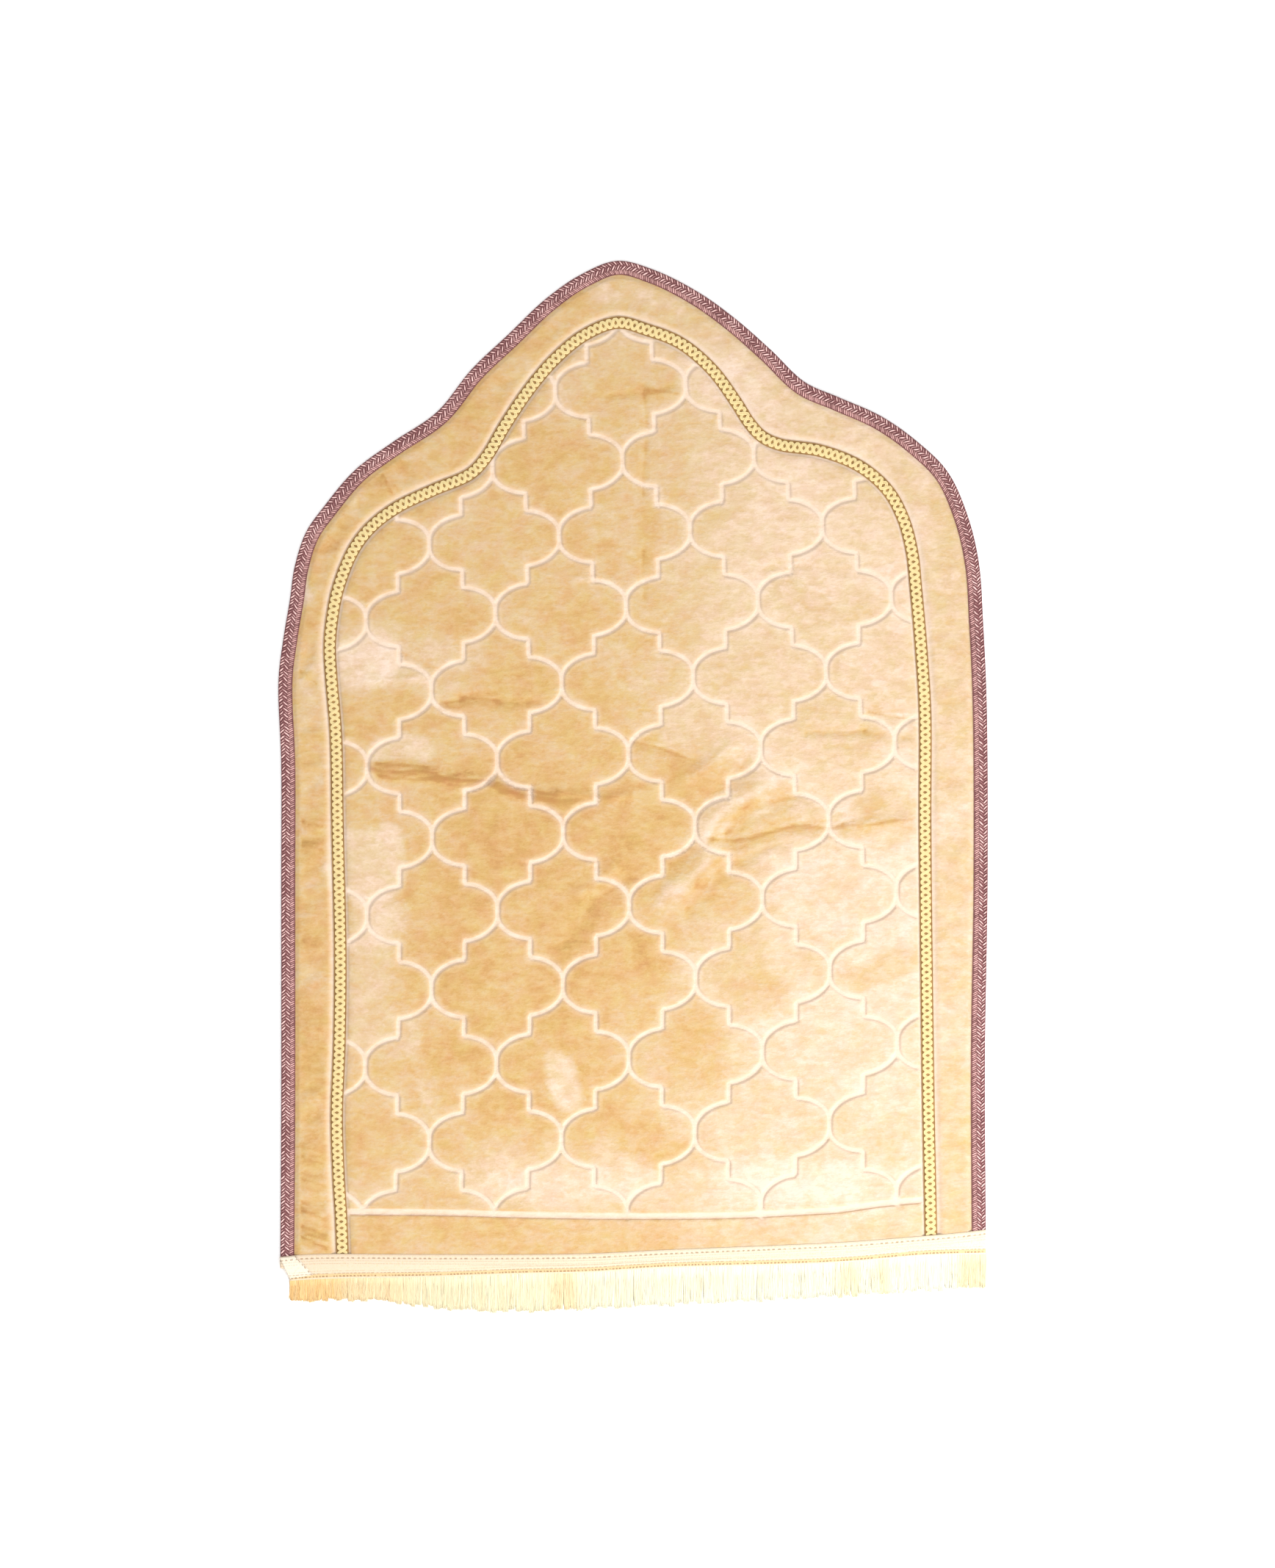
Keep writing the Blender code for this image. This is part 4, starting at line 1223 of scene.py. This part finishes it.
def lay_tape(piece, places, sides):
    """Lay a grid on its places, note the distance to its edges, and give it thickness."""
    places = np.array(places, float)
    piece.data.vertices.foreach_set("co", in_frame(places).ravel())
    paint(piece, "down", heading_top(places[:, 0]) - places[:, 1])
    paint(piece, "up", places[:, 1] - heading_foot(places[:, 0]))
    paint(piece, "side", sides)
    piece.data.shade_smooth()
    thick = piece.modifiers.new("woven thickness", "SOLIDIFY")
    thick.thickness = TAPE_THICK * MM
    thick.offset = -1
    apply_all(piece)
    print(piece.name, "has", len(piece.data.polygons), "faces")


heading_tape, grid = grid_piece("heading_tape", TAPE_COLUMNS, len(TAPE_ROWS) - 1)
laid = []
for share, row in grid:
    across, along, height = tape_row(share, row)
    ripple = TAPE_RIPPLE * math.sin(across * 2.3) * math.sin(across * 0.37)
    laid.append((across, along, height + ripple))
lay_tape(heading_tape, laid, [NO_SIDE] * len(laid))

# %% [markdown]
# At the left end the tape is folded back on itself at a slant, which leaves a small flap over its
# corner. It is a short tape of its own here, a grid again. Each of its points is laid a little more
# than a tape's thickness above the first tape there, so it follows all of its ribs.

# %% Folded end of the tape
FLAP_COLUMNS = 14
FLAP_ROWS = 14
FLAP_TOP = 19.0
FLAP_FOOT = 27.0
FLAP_PROUD = 0.5
FLAP_LIFT = 0.55
FLAP_EDGE_DROP = 0.3


def tape_level(across, along):
    """Height of the tape below a place, from the rows on either side of it."""
    down = [
        away - heading_top(across) if line == "top" else -heading_foot(across) - away
        for line, away, _ in TAPE_ROWS
    ]
    return float(np.interp(-along, down, [height for _, _, height in TAPE_ROWS]))


tape_flap, grid = grid_piece("tape_flap", FLAP_COLUMNS, FLAP_ROWS)
laid = []
sides = []
for share, row in grid:
    down = row / FLAP_ROWS
    wide = FLAP_TOP + (FLAP_FOOT - FLAP_TOP) * down
    left = -HEADING_END + LEFT_SLANT * down - FLAP_PROUD
    across = left + wide * share
    top_edge = heading_top(across) - 0.6
    along = top_edge + (heading_foot(across) + 1.0 + 3.0 * share - top_edge) * down
    height = tape_level(across, along) + FLAP_LIFT
    laid.append((across, along, height - FLAP_EDGE_DROP * ease((share - 0.9) / 0.1)))
    sides.append(wide * (1 - share))
lay_tape(tape_flap, laid, sides)

# %% [markdown]
# ## The fringe
# The fringe is a curtain of soft loose yarn. Each yarn is a thin three-sided tube, which is enough
# for something half a millimetre thick. A first layer of flat yarns lies on the floor, and thinner
# ones lie over it in locks, which lean together at their tips. A seeded random source keeps every
# run the same.

# %% Fringe yarns
YARN_RINGS = 7
FRINGE_FIRST = -387.5
FRINGE_LAST = 399.0
LOCK_WIDE = 7.3
# how many, radius, flatness, spread of the lean, lift above the floor
FRINGE_LAYERS = (
    (1100, 1.30, 0.20, 0.3, 0.0),
    (2200, 0.40, 0.6, 0.9, 0.35),
)
# across, paleness: tan at the left end, nearly white to the right, partly the yarn's colour and
# partly painted light where the lamp is strongest, with a few yellower locks
FRINGE_TONES = (
    (-388, 0.02), (-340, 0.10), (-318, 0.36), (-262, 0.40), (-245, 0.62), (-100, 0.68),
    (-86, 0.45), (-70, 0.45), (-58, 0.78), (220, 0.92), (243, 0.62), (250, 0.62), (262, 0.92),
    (284, 0.62), (294, 0.92), (362, 0.92), (372, 0.55), (399, 0.55),
)
YARN_SECTION = ((-0.87, -0.5), (0.87, -0.5), (0.0, 1.0))
FRINGE_SEED = 12
PHASES = 6.3
# how much one yarn differs from the next: at its root, at its tip, in its waves and in its tone
ROOT_SCATTER = 0.4
TIP_SCATTER = 1.6
WAVE_SCATTER = 0.35
TONE_SCATTER = 0.07
# height of the roots, how much they vary, and the share of a yarn in which it comes to the floor
ROOT_HEIGHT = 1.3
ROOT_VARIES = 0.5
DROP_SHARE = 0.35
FLOOR_GAP = 0.05


def fringe_layer(source, count, radius, flatness, spread, lift):
    """The corners of one layer of yarns, and the tone of each yarn."""
    root_x = np.linspace(FRINGE_FIRST, FRINGE_LAST, count) + source.normal(0, ROOT_SCATTER, count)
    root_x = np.clip(root_x, FRINGE_FIRST, FRINGE_LAST)
    lock = np.floor((root_x + 2.0 * np.sin(root_x / 31.0)) / LOCK_WIDE)
    lock_middle = (lock + 0.5) * LOCK_WIDE
    lock_lean = 1.3 * np.sin(lock * 1.7) + 1.1 * np.sin(lock * 0.53 + 1)
    lock_short = 1.2 * np.sin(lock * 2.9) + 1.0 * np.sin(lock * 0.91)
    lean = lock_lean + 0.25 * (lock_middle - root_x)
    lean = lean * min(1, spread) + source.normal(0, spread, count)
    tip_y = fringe_tip(root_x) + 1.0 + lock_short + np.abs(source.normal(0, TIP_SCATTER, count))
    root_y = heading_foot(root_x) + 0.5
    layer = source.random(count)
    wave = source.normal(0, WAVE_SCATTER, count)
    phase = source.random(count) * PHASES
    shares = np.linspace(0, 1, YARN_RINGS)
    corners = np.empty((count, YARN_RINGS, 3, 3))
    for ring, share in enumerate(shares):
        drop = ease(share / DROP_SHARE)
        thick = radius * (0.5 if share == 1 else 1.0)
        x = root_x + lean * share**1.6 + wave * np.sin(5 * share + phase) * share
        y = root_y + (tip_y - root_y) * share
        z = FLOOR_GAP + radius * flatness * 0.5 + (ROOT_HEIGHT + ROOT_VARIES * layer) * (1 - drop)
        z = z + lift * drop * (0.3 + layer + 0.3 * np.sin(3 * share + phase))
        for corner, (wide, tall) in enumerate(YARN_SECTION):
            place = (x + wide * thick, y, z + tall * thick * flatness)
            corners[:, ring, corner] = np.stack(place, axis=1)
    table = np.array(FRINGE_TONES)
    tone = np.interp(root_x, table[:, 0], table[:, 1]) + source.normal(0, TONE_SCATTER, count)
    return corners, tone


def yarn_faces(count):
    """The faces of so many yarns, whose corners follow one another."""
    faces = []
    for start in range(0, count * YARN_RINGS * 3, YARN_RINGS * 3):
        for ring in range(YARN_RINGS - 1):
            for j in range(3):
                a, b = start + ring * 3 + j, start + ring * 3 + (j + 1) % 3
                faces.append([a, b, b + 3, a + 3])
        end = start + (YARN_RINGS - 1) * 3
        faces.append([end, end + 1, end + 2])
    return faces


source = np.random.default_rng(FRINGE_SEED)
layers = [fringe_layer(source, *layer) for layer in FRINGE_LAYERS]
corners = np.vstack([corners.reshape(-1, 3) for corners, _ in layers])
tones = np.concatenate([tone for _, tone in layers])
fringe_yarns = make_piece("fringe_yarns", in_frame(corners), yarn_faces(len(tones)))
paint(fringe_yarns, "tone", np.repeat(tones, YARN_RINGS * 3))
print("fringe:", len(tones), "yarns,", len(fringe_yarns.data.polygons), "faces")

# %% [markdown]
# ## Finishes
# A finish is built from few nodes: where to read the pattern, a noise or two at the size of the
# real weave or pile, a colour from the sum, and a bump. `link` and `node` keep that readable.


# %% Helpers for finishes
def new_finish(name, roughness, gloss):
    """An empty material with a Principled shader, and short ways to add and join nodes."""
    finish = bpy.data.materials.new(name)
    finish.use_nodes = True
    tree = finish.node_tree
    shader = tree.nodes["Principled BSDF"]
    shader.inputs["Roughness"].default_value = roughness
    shader.inputs["Specular IOR Level"].default_value = gloss

    def node(kind, **settings):
        made = tree.nodes.new(kind)
        for key, value in settings.items():
            setattr(made, key, value)
        return made

    def link(source, target):
        tree.links.new(source, target)

    return finish, shader, node, link


def number(link, node, operation, *values):
    """A Math node whose inputs are sockets or plain numbers."""
    made = node("ShaderNodeMath", operation=operation)
    for socket, value in zip(made.inputs, values):
        if isinstance(value, (int, float)):
            socket.default_value = value
        else:
            link(value, socket)
    return made.outputs[0]


def attribute(node, name):
    """The number that each point of a piece keeps under this name."""
    return node("ShaderNodeAttribute", attribute_name=name).outputs["Fac"]


def noise(link, node, place, scale, detail=4.0, stretch=(1, 1, 1), roughness=0.55):
    """Noise that can be stretched along one way, such as pile brushed sideways."""
    mapping = node("ShaderNodeMapping")
    mapping.inputs["Scale"].default_value = stretch
    link(place, mapping.inputs["Vector"])
    made = node("ShaderNodeTexNoise")
    made.inputs["Scale"].default_value = scale
    made.inputs["Detail"].default_value = detail
    made.inputs["Roughness"].default_value = roughness
    link(mapping.outputs[0], made.inputs["Vector"])
    return made.outputs[0]


def between(link, node, value, low, high):
    """Nought below the low value, one above the high one, smooth in between."""
    made = node("ShaderNodeMapRange", interpolation_type="SMOOTHSTEP")
    made.inputs["From Min"].default_value = low
    made.inputs["From Max"].default_value = high
    link(value, made.inputs["Value"])
    return made.outputs[0]


def ramp(link, node, factor, stops):
    """A colour ramp from (place, colour) stops."""
    made = node("ShaderNodeValToRGB")
    elements = made.color_ramp.elements
    while len(elements) < len(stops):
        elements.new(0.5)
    for element, (place, colour) in zip(elements, stops):
        element.position = place
        element.color = (*colour, 1)
    link(factor, made.inputs[0])
    return made.outputs[0]


def mixed(link, node, factor, first, second):
    """One colour laid over another by a factor; each is a socket or a plain colour."""
    made = node("ShaderNodeMix", data_type="RGBA")
    for socket, value in ((made.inputs[0], factor), (made.inputs[6], first), (made.inputs[7], second)):
        if isinstance(value, (int, float)):
            socket.default_value = value
        elif isinstance(value, tuple):
            socket.default_value = (*value, 1)
        else:
            link(value, socket)
    return made.outputs[2]


def bump(link, node, shader, height, distance, strength=1.0):
    """A bump of so many metres from a height between nought and one."""
    made = node("ShaderNodeBump")
    made.inputs["Strength"].default_value = strength
    made.inputs["Distance"].default_value = distance
    link(height, made.inputs["Height"])
    link(made.outputs[0], shader.inputs["Normal"])


# %% [markdown]
# Velour is a dense short pile. Seen from above it has wide pale and dark fields where it is brushed
# over, patches with ragged edges where a hand has pushed it, fine sideways streaks where the pile
# parts, and pressed grooves that are almost cream, because flat pile mirrors more light. Painted light
# and shade join these: a broad pale field where the lamp is strongest, darker fields and fine lines
# where folds throw their shadow, and pale lines on their lit sides. The colour follows one sum of
# all of these. Only the painted shadow of the deepest creases goes beyond it, to a dark brown.

# %% Velour
VELOUR_STOPS = (
    (0.00, (0.38, 0.210, 0.074)),
    (0.15, (0.43, 0.252, 0.092)),
    (0.34, (0.463, 0.297, 0.131)),
    (0.55, (0.478, 0.342, 0.198)),
    (0.75, (0.530, 0.392, 0.272)),
    (1.00, (0.600, 0.474, 0.380)),
)
PRESSED_PALE = (0.62, 0.495, 0.395)
# the brown of the painted shadow in the deepest creases
CREASE_SHADOW_BROWN = (0.30, 0.125, 0.035)
NAP_BASE = 0.38
NAP_AND_LIGHT_REACH = 1.0
CREASE_SHADE_REACH = 0.30
# a painted shadow brown is mixed in by the painted shade of a fold times the first number, plus the
# second
DEEP_SHADOW_REACH = -0.75
DEEP_SHADOW_START = -0.42
# noise is turned into a small shift of the hue around a half, and into patches of the pressed pile
HUE_REACH = 0.044
HUE_LOW = 0.479
PATCH_REACH = 1.1
PATCH_LOW = 0.30
SHEEN_TINT = (1.0, 0.93, 0.82, 1)
# scale, stretch, detail, low and high end of the sharpened edge, strength
VELOUR_NOISES = (
    (9.0, (1.0, 1.3, 1), 3.0, 0.35, 0.65, 0.14),
    (36.0, (0.8, 1.2, 1), 6.0, 0.455, 0.545, 0.10),
    (1.0, (60, 140, 1), 5.0, 0.30, 0.70, 0.14),
    (260.0, (0.8, 1.4, 1), 3.0, 0.35, 0.65, 0.07),
    (105.0, (0.9, 1.3, 1), 4.0, 0.42, 0.58, 0.11),
)


def velour():
    """Golden velour with brushed fields, streaks, pale pressed grooves and painted light and shade."""
    finish, shader, node, link = new_finish("golden velour", 0.9, 0.2)
    place = node("ShaderNodeTexCoord").outputs["Object"]
    # brushed fields, some of them painted light and shade
    tone = number(link, node, "MULTIPLY_ADD", attribute(node, "nap_and_light"), NAP_AND_LIGHT_REACH, NAP_BASE)
    spread = []
    for scale, stretch, detail, low, high, strength in VELOUR_NOISES:
        spread.append(noise(link, node, place, scale, detail, stretch, 0.62))
        patch = between(link, node, spread[-1], low, high)
        tone = number(link, node, "MULTIPLY_ADD", patch, strength, tone)
        tone = number(link, node, "SUBTRACT", tone, strength / 2)
    # the painted shade and highlight of the wrinkles move the tone
    tone = number(link, node, "MULTIPLY_ADD", attribute(node, "crease_painted_shade"), CREASE_SHADE_REACH, tone)
    colour = ramp(link, node, tone, VELOUR_STOPS)
    # painted shadow: where the painted shade of a fold is deep, the colour goes to a dark brown
    deep_shadow = attribute(node, "crease_painted_shade")
    deep_shadow = number(link, node, "MULTIPLY_ADD", deep_shadow, DEEP_SHADOW_REACH, DEEP_SHADOW_START)
    colour = mixed(link, node, deep_shadow, colour, CREASE_SHADOW_BROWN)
    tint = node("ShaderNodeHueSaturation")
    hue = noise(link, node, place, 60.0, 3.0)
    link(number(link, node, "MULTIPLY_ADD", hue, HUE_REACH, HUE_LOW), tint.inputs["Hue"])
    link(colour, tint.inputs["Color"])
    colour = tint.outputs[0]
    patchy = number(link, node, "MULTIPLY_ADD", spread[2], PATCH_REACH, PATCH_LOW)
    flat = number(link, node, "MULTIPLY", attribute(node, "pressed"), patchy)
    colour = mixed(link, node, flat, colour, PRESSED_PALE)
    link(colour, shader.inputs["Base Color"])
    shader.inputs["Sheen Weight"].default_value = 0.15
    shader.inputs["Sheen Roughness"].default_value = 0.45
    shader.inputs["Sheen Tint"].default_value = SHEEN_TINT
    height = number(link, node, "MULTIPLY_ADD", spread[3], 0.4, spread[2])
    height = number(link, node, "MULTIPLY_ADD", spread[4], 0.8, height)
    bump(link, node, shader, height, 0.0011, 0.8)
    return finish


velour_mat.data.materials.append(velour())


# %% [markdown]
# Gimp cords are wound with a shiny rayon thread, plait strands are matt cotton, and the tape and
# fringe are undyed cream. Deep places get less light, so each cord finish has painted shade that
# darkens it towards its underside by its own height above the floor.

# %% Cords
def cord_finish(name, dark, pale, low, high, twist, roughness, patchy):
    """A wound cord with fine slanting threads, and painted shade where it dips under its neighbour."""
    finish, shader, node, link = new_finish(name, roughness, 0.35)
    place = node("ShaderNodeTexCoord").outputs["Object"]
    height = node("ShaderNodeSeparateXYZ")
    link(place, height.inputs[0])
    # painted shade: from the dark colour at the low height to the pale one at the high height
    lift = node("ShaderNodeMapRange")
    lift.inputs["From Min"].default_value = low * MM
    lift.inputs["From Max"].default_value = high * MM
    link(height.outputs["Z"], lift.inputs["Value"])
    threads = noise(link, node, place, twist, 3.0, (1, 1, 1), 0.6)
    worn = between(link, node, noise(link, node, place, 75.0, 3.0), 0.35, 0.65)
    mottled = number(link, node, "MULTIPLY_ADD", threads, 0.5, lift.outputs[0])
    mottled = number(link, node, "MULTIPLY_ADD", worn, patchy, mottled)
    mottled = number(link, node, "SUBTRACT", mottled, 0.25 + patchy / 2)
    link(ramp(link, node, mottled, ((0.0, dark), (0.9, pale))), shader.inputs["Base Color"])
    bump(link, node, shader, threads, 0.0003, 0.7)
    return finish


# piece, name, colour in painted shade, lit colour, heights of each, grain, roughness, patchiness
CORDS = (
    (gold_cords, "gold gimp", (0.44, 0.29, 0.10), (0.66, 0.53, 0.26), 3.6, 4.4, 900, 0.5, 0.2),
    (gold_ground, "gold ground", (0.22, 0.115, 0.036), (0.34, 0.19, 0.062), 3.2, 3.8, 900, 0.8, 0.5),
    (gold_edges, "gold edge", (0.27, 0.15, 0.055), (0.40, 0.24, 0.09), 3.3, 4.1, 900, 0.6, 0.4),
    (mauve_plait, "mauve plait", (0.20, 0.078, 0.077), (0.71, 0.46, 0.43), 4.35, 5.2, 700, 0.7, 0.4),
    (mauve_strip, "mauve strip", (0.22, 0.095, 0.09), (0.56, 0.31, 0.29), 4.1, 4.8, 700, 0.75, 0.4),
    (mauve_cord, "mauve cord", (0.11, 0.035, 0.035), (0.22, 0.08, 0.075), 3.6, 4.4, 700, 0.8, 0.5),
    (binding_fold, "mauve fold", (0.09, 0.03, 0.032), (0.15, 0.052, 0.055), 1.0, 4.2, 700, 0.85, 0.4),
)
for piece, *settings in CORDS:
    piece.data.materials.append(cord_finish(*settings))


# %% [markdown]
# The tape keeps for each point how far it is below its top edge and above its foot. So the rows of
# needle holes and the ochre thread at its foot follow both edges, although these are not parallel.
# The flap also keeps how far it is from its slanting side, for the stitches that hold it down and
# for a painted shade along that folded side.

# %% Tape and yarn
# measured by "down", "up" or "side", how far, half width, pitch of the holes and how much of it each
# hole takes up, strength
STITCH_ROWS = (
    ("down", 4.6, 0.85, 5.8, 0.50, 0.62),
    ("down", 7.8, 0.50, 2.9, 0.75, 0.22),
    ("down", 11.0, 0.50, 2.9, 0.75, 0.25),
    ("up", 7.7, 0.50, 2.9, 0.75, 0.25),
    ("up", 4.9, 0.60, 4.7, 0.70, 0.45),
    ("up", 1.7, 0.90, 3.9, 0.60, 0.75),
    ("side", 1.8, 0.70, 3.6, 0.60, 0.75),
    # not holes: a line of painted shade along the flap's folded side
    ("side", 0.3, 0.50, 3.6, 1.00, 0.40),
)
CREAM_LEFT = (0.57, 0.455, 0.335)
CREAM_RIGHT = (0.62, 0.535, 0.405)
FLAP_PALE = (0.62, 0.550, 0.450)
OCHRE = (0.56, 0.38, 0.17)
# the ochre thread: how far up from the foot, and half its width
OCHRE_UP = 2.6
OCHRE_HALF = 2.0
# across the rug the cream changes from one to the other between minus this and this
CREAM_REACH = 400.0
HOLE_WANDER = 6.0
# colour of the needle holes, and of the painted shade along the flap's fold
NEEDLE_HOLE_AND_SHADE = (0.22, 0.13, 0.07)


def row_mask(link, node, distance, where, half):
    """One on a thin row at this distance from an edge of the tape."""
    off = number(link, node, "ABSOLUTE", number(link, node, "SUBTRACT", distance, where))
    return number(link, node, "SUBTRACT", 1.0, between(link, node, off, half * 0.6, half * 1.4))


def tape_finish(name, ochre_strength, cream):
    """Cream tape: lengthwise ribs, rows of needle holes, an ochre thread at its foot, painted fold
    shade.
    """
    finish, shader, node, link = new_finish(name, 0.85, 0.2)
    place = node("ShaderNodeTexCoord").outputs["Object"]
    across = node("ShaderNodeSeparateXYZ")
    link(place, across.inputs[0])
    along = number(link, node, "DIVIDE", across.outputs["X"], MM)
    edges = {edge: attribute(node, edge) for edge in ("down", "up", "side")}
    weave = noise(link, node, place, 1.0, 4.0, (420, 340, 1), 0.7)
    worn = noise(link, node, place, 150.0, 3.0)
    colour = mixed(link, node, between(link, node, along, -CREAM_REACH, CREAM_REACH), *cream)
    shade = between(link, node, weave, 0.32, 0.50)
    colour = mixed(link, node, number(link, node, "MULTIPLY_ADD", shade, -0.4, 0.4), colour, OCHRE)
    ochre = row_mask(link, node, edges["up"], OCHRE_UP, OCHRE_HALF)
    colour = mixed(link, node, number(link, node, "MULTIPLY", ochre, ochre_strength), colour, OCHRE)
    for edge, where, half, pitch, share, strength in STITCH_ROWS:
        wander = number(link, node, "MULTIPLY_ADD", worn, HOLE_WANDER, along)
        saw = number(link, node, "PINGPONG", wander, pitch / 2)
        dash = number(link, node, "LESS_THAN", saw, pitch / 2 * share)
        row = row_mask(link, node, edges[edge], where, half)
        present = between(link, node, worn, 0.30, 0.50)
        mask = number(link, node, "MULTIPLY", number(link, node, "MULTIPLY", row, dash), present)
        faint = number(link, node, "MULTIPLY", mask, strength)
        colour = mixed(link, node, faint, colour, NEEDLE_HOLE_AND_SHADE)
    link(colour, shader.inputs["Base Color"])
    bump(link, node, shader, weave, 0.0005, 0.9)
    return finish


heading_tape.data.materials.append(tape_finish("cream tape", 0.75, (CREAM_LEFT, CREAM_RIGHT)))
tape_flap.data.materials.append(tape_finish("cream flap", 0.1, (FLAP_PALE, FLAP_PALE)))

YARN_STOPS = (
    (0.00, (0.66, 0.425, 0.18)), (0.10, (0.66, 0.45, 0.215)), (0.38, (0.66, 0.52, 0.32)),
    (0.65, (0.66, 0.59, 0.40)), (0.95, (0.66, 0.64, 0.52)),
)


def yarn_finish():
    """Soft undyed yarn, tan to nearly white by the tone that each yarn carries."""
    finish, shader, node, link = new_finish("cream yarn", 0.7, 0.2)
    link(ramp(link, node, attribute(node, "tone"), YARN_STOPS), shader.inputs["Base Color"])
    return finish


fringe_yarns.data.materials.append(yarn_finish())
print("finishes:", len(bpy.data.materials))

# %% [markdown]
# ## Ties to the frame
# Every piece moves with the frame's one body and stands for the solid it covers.

# %% Ties
PIECES = (
    (velour_mat, "rug_cloth", "velour"),
    (gold_cords, "gold_braid", "gold_gimp"),
    (gold_ground, "gold_braid", "gold_gimp"),
    (gold_edges, "gold_braid", "gold_gimp"),
    (mauve_plait, "edge_binding", "mauve_plait"),
    (mauve_strip, "edge_binding", "mauve_plait"),
    (mauve_cord, "edge_binding", "mauve_plait"),
    (binding_fold, "edge_binding", "mauve_plait"),
    (heading_tape, "fringe_trim", "cream_yarn"),
    (tape_flap, "fringe_trim", "cream_yarn"),
    (fringe_yarns, "fringe_trim", "cream_yarn"),
)
for piece, node_name, slot_name in PIECES:
    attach(piece, "root")
    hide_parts(node_name)

triangles = {p.name: sum(len(f.vertices) - 2 for f in p.data.polygons) for p, _, _ in PIECES}
print("triangles:", triangles, "in all", sum(triangles.values()))

# %% [markdown]
# ## Floor and light
# A plain white floor, one large soft light low at the lower right, and an even white surround. The
# low light rakes over the grooves and gives each one its bright and its dark side, and it makes the
# lower right of the rug the palest part.

# %% Floor and light
FLOOR_WIDE = 9
FLOOR_BELOW = 0.3
SURROUND = 1.3

bpy.ops.object.select_all(action="DESELECT")
bpy.ops.mesh.primitive_plane_add(size=FLOOR_WIDE, location=(0, 0, -FLOOR_BELOW * MM))
floor = bpy.context.object
floor.name = "floor"
floor_finish, floor_shader, _, _ = new_finish("white floor", 0.9, 0.1)
floor_shader.inputs["Base Color"].default_value = (0.97, 0.97, 0.97, 1)
floor.data.materials.append(floor_finish)


def soft_light(name, place, size, power):
    """A square area light turned towards the rug's middle."""
    bpy.ops.object.light_add(type="AREA", location=place)
    light = bpy.context.object
    light.name = name
    light.data.size = size
    light.data.energy = power
    light.rotation_euler = (-Vector(place)).to_track_quat("-Z", "Y").to_euler()


soft_light("light_low_right", place=(1.5, -1.6, 1.6), size=0.7, power=72)
world = bpy.data.worlds.new("even surround")
bpy.context.scene.world = world
world.use_nodes = True
surround = world.node_tree.nodes["Background"]
surround.inputs["Color"].default_value = (1, 1, 1, 1)
surround.inputs["Strength"].default_value = SURROUND
bpy.context.scene.view_settings.view_transform = "Standard"
print("light:", bpy.context.object.name, "surround:", world.name)
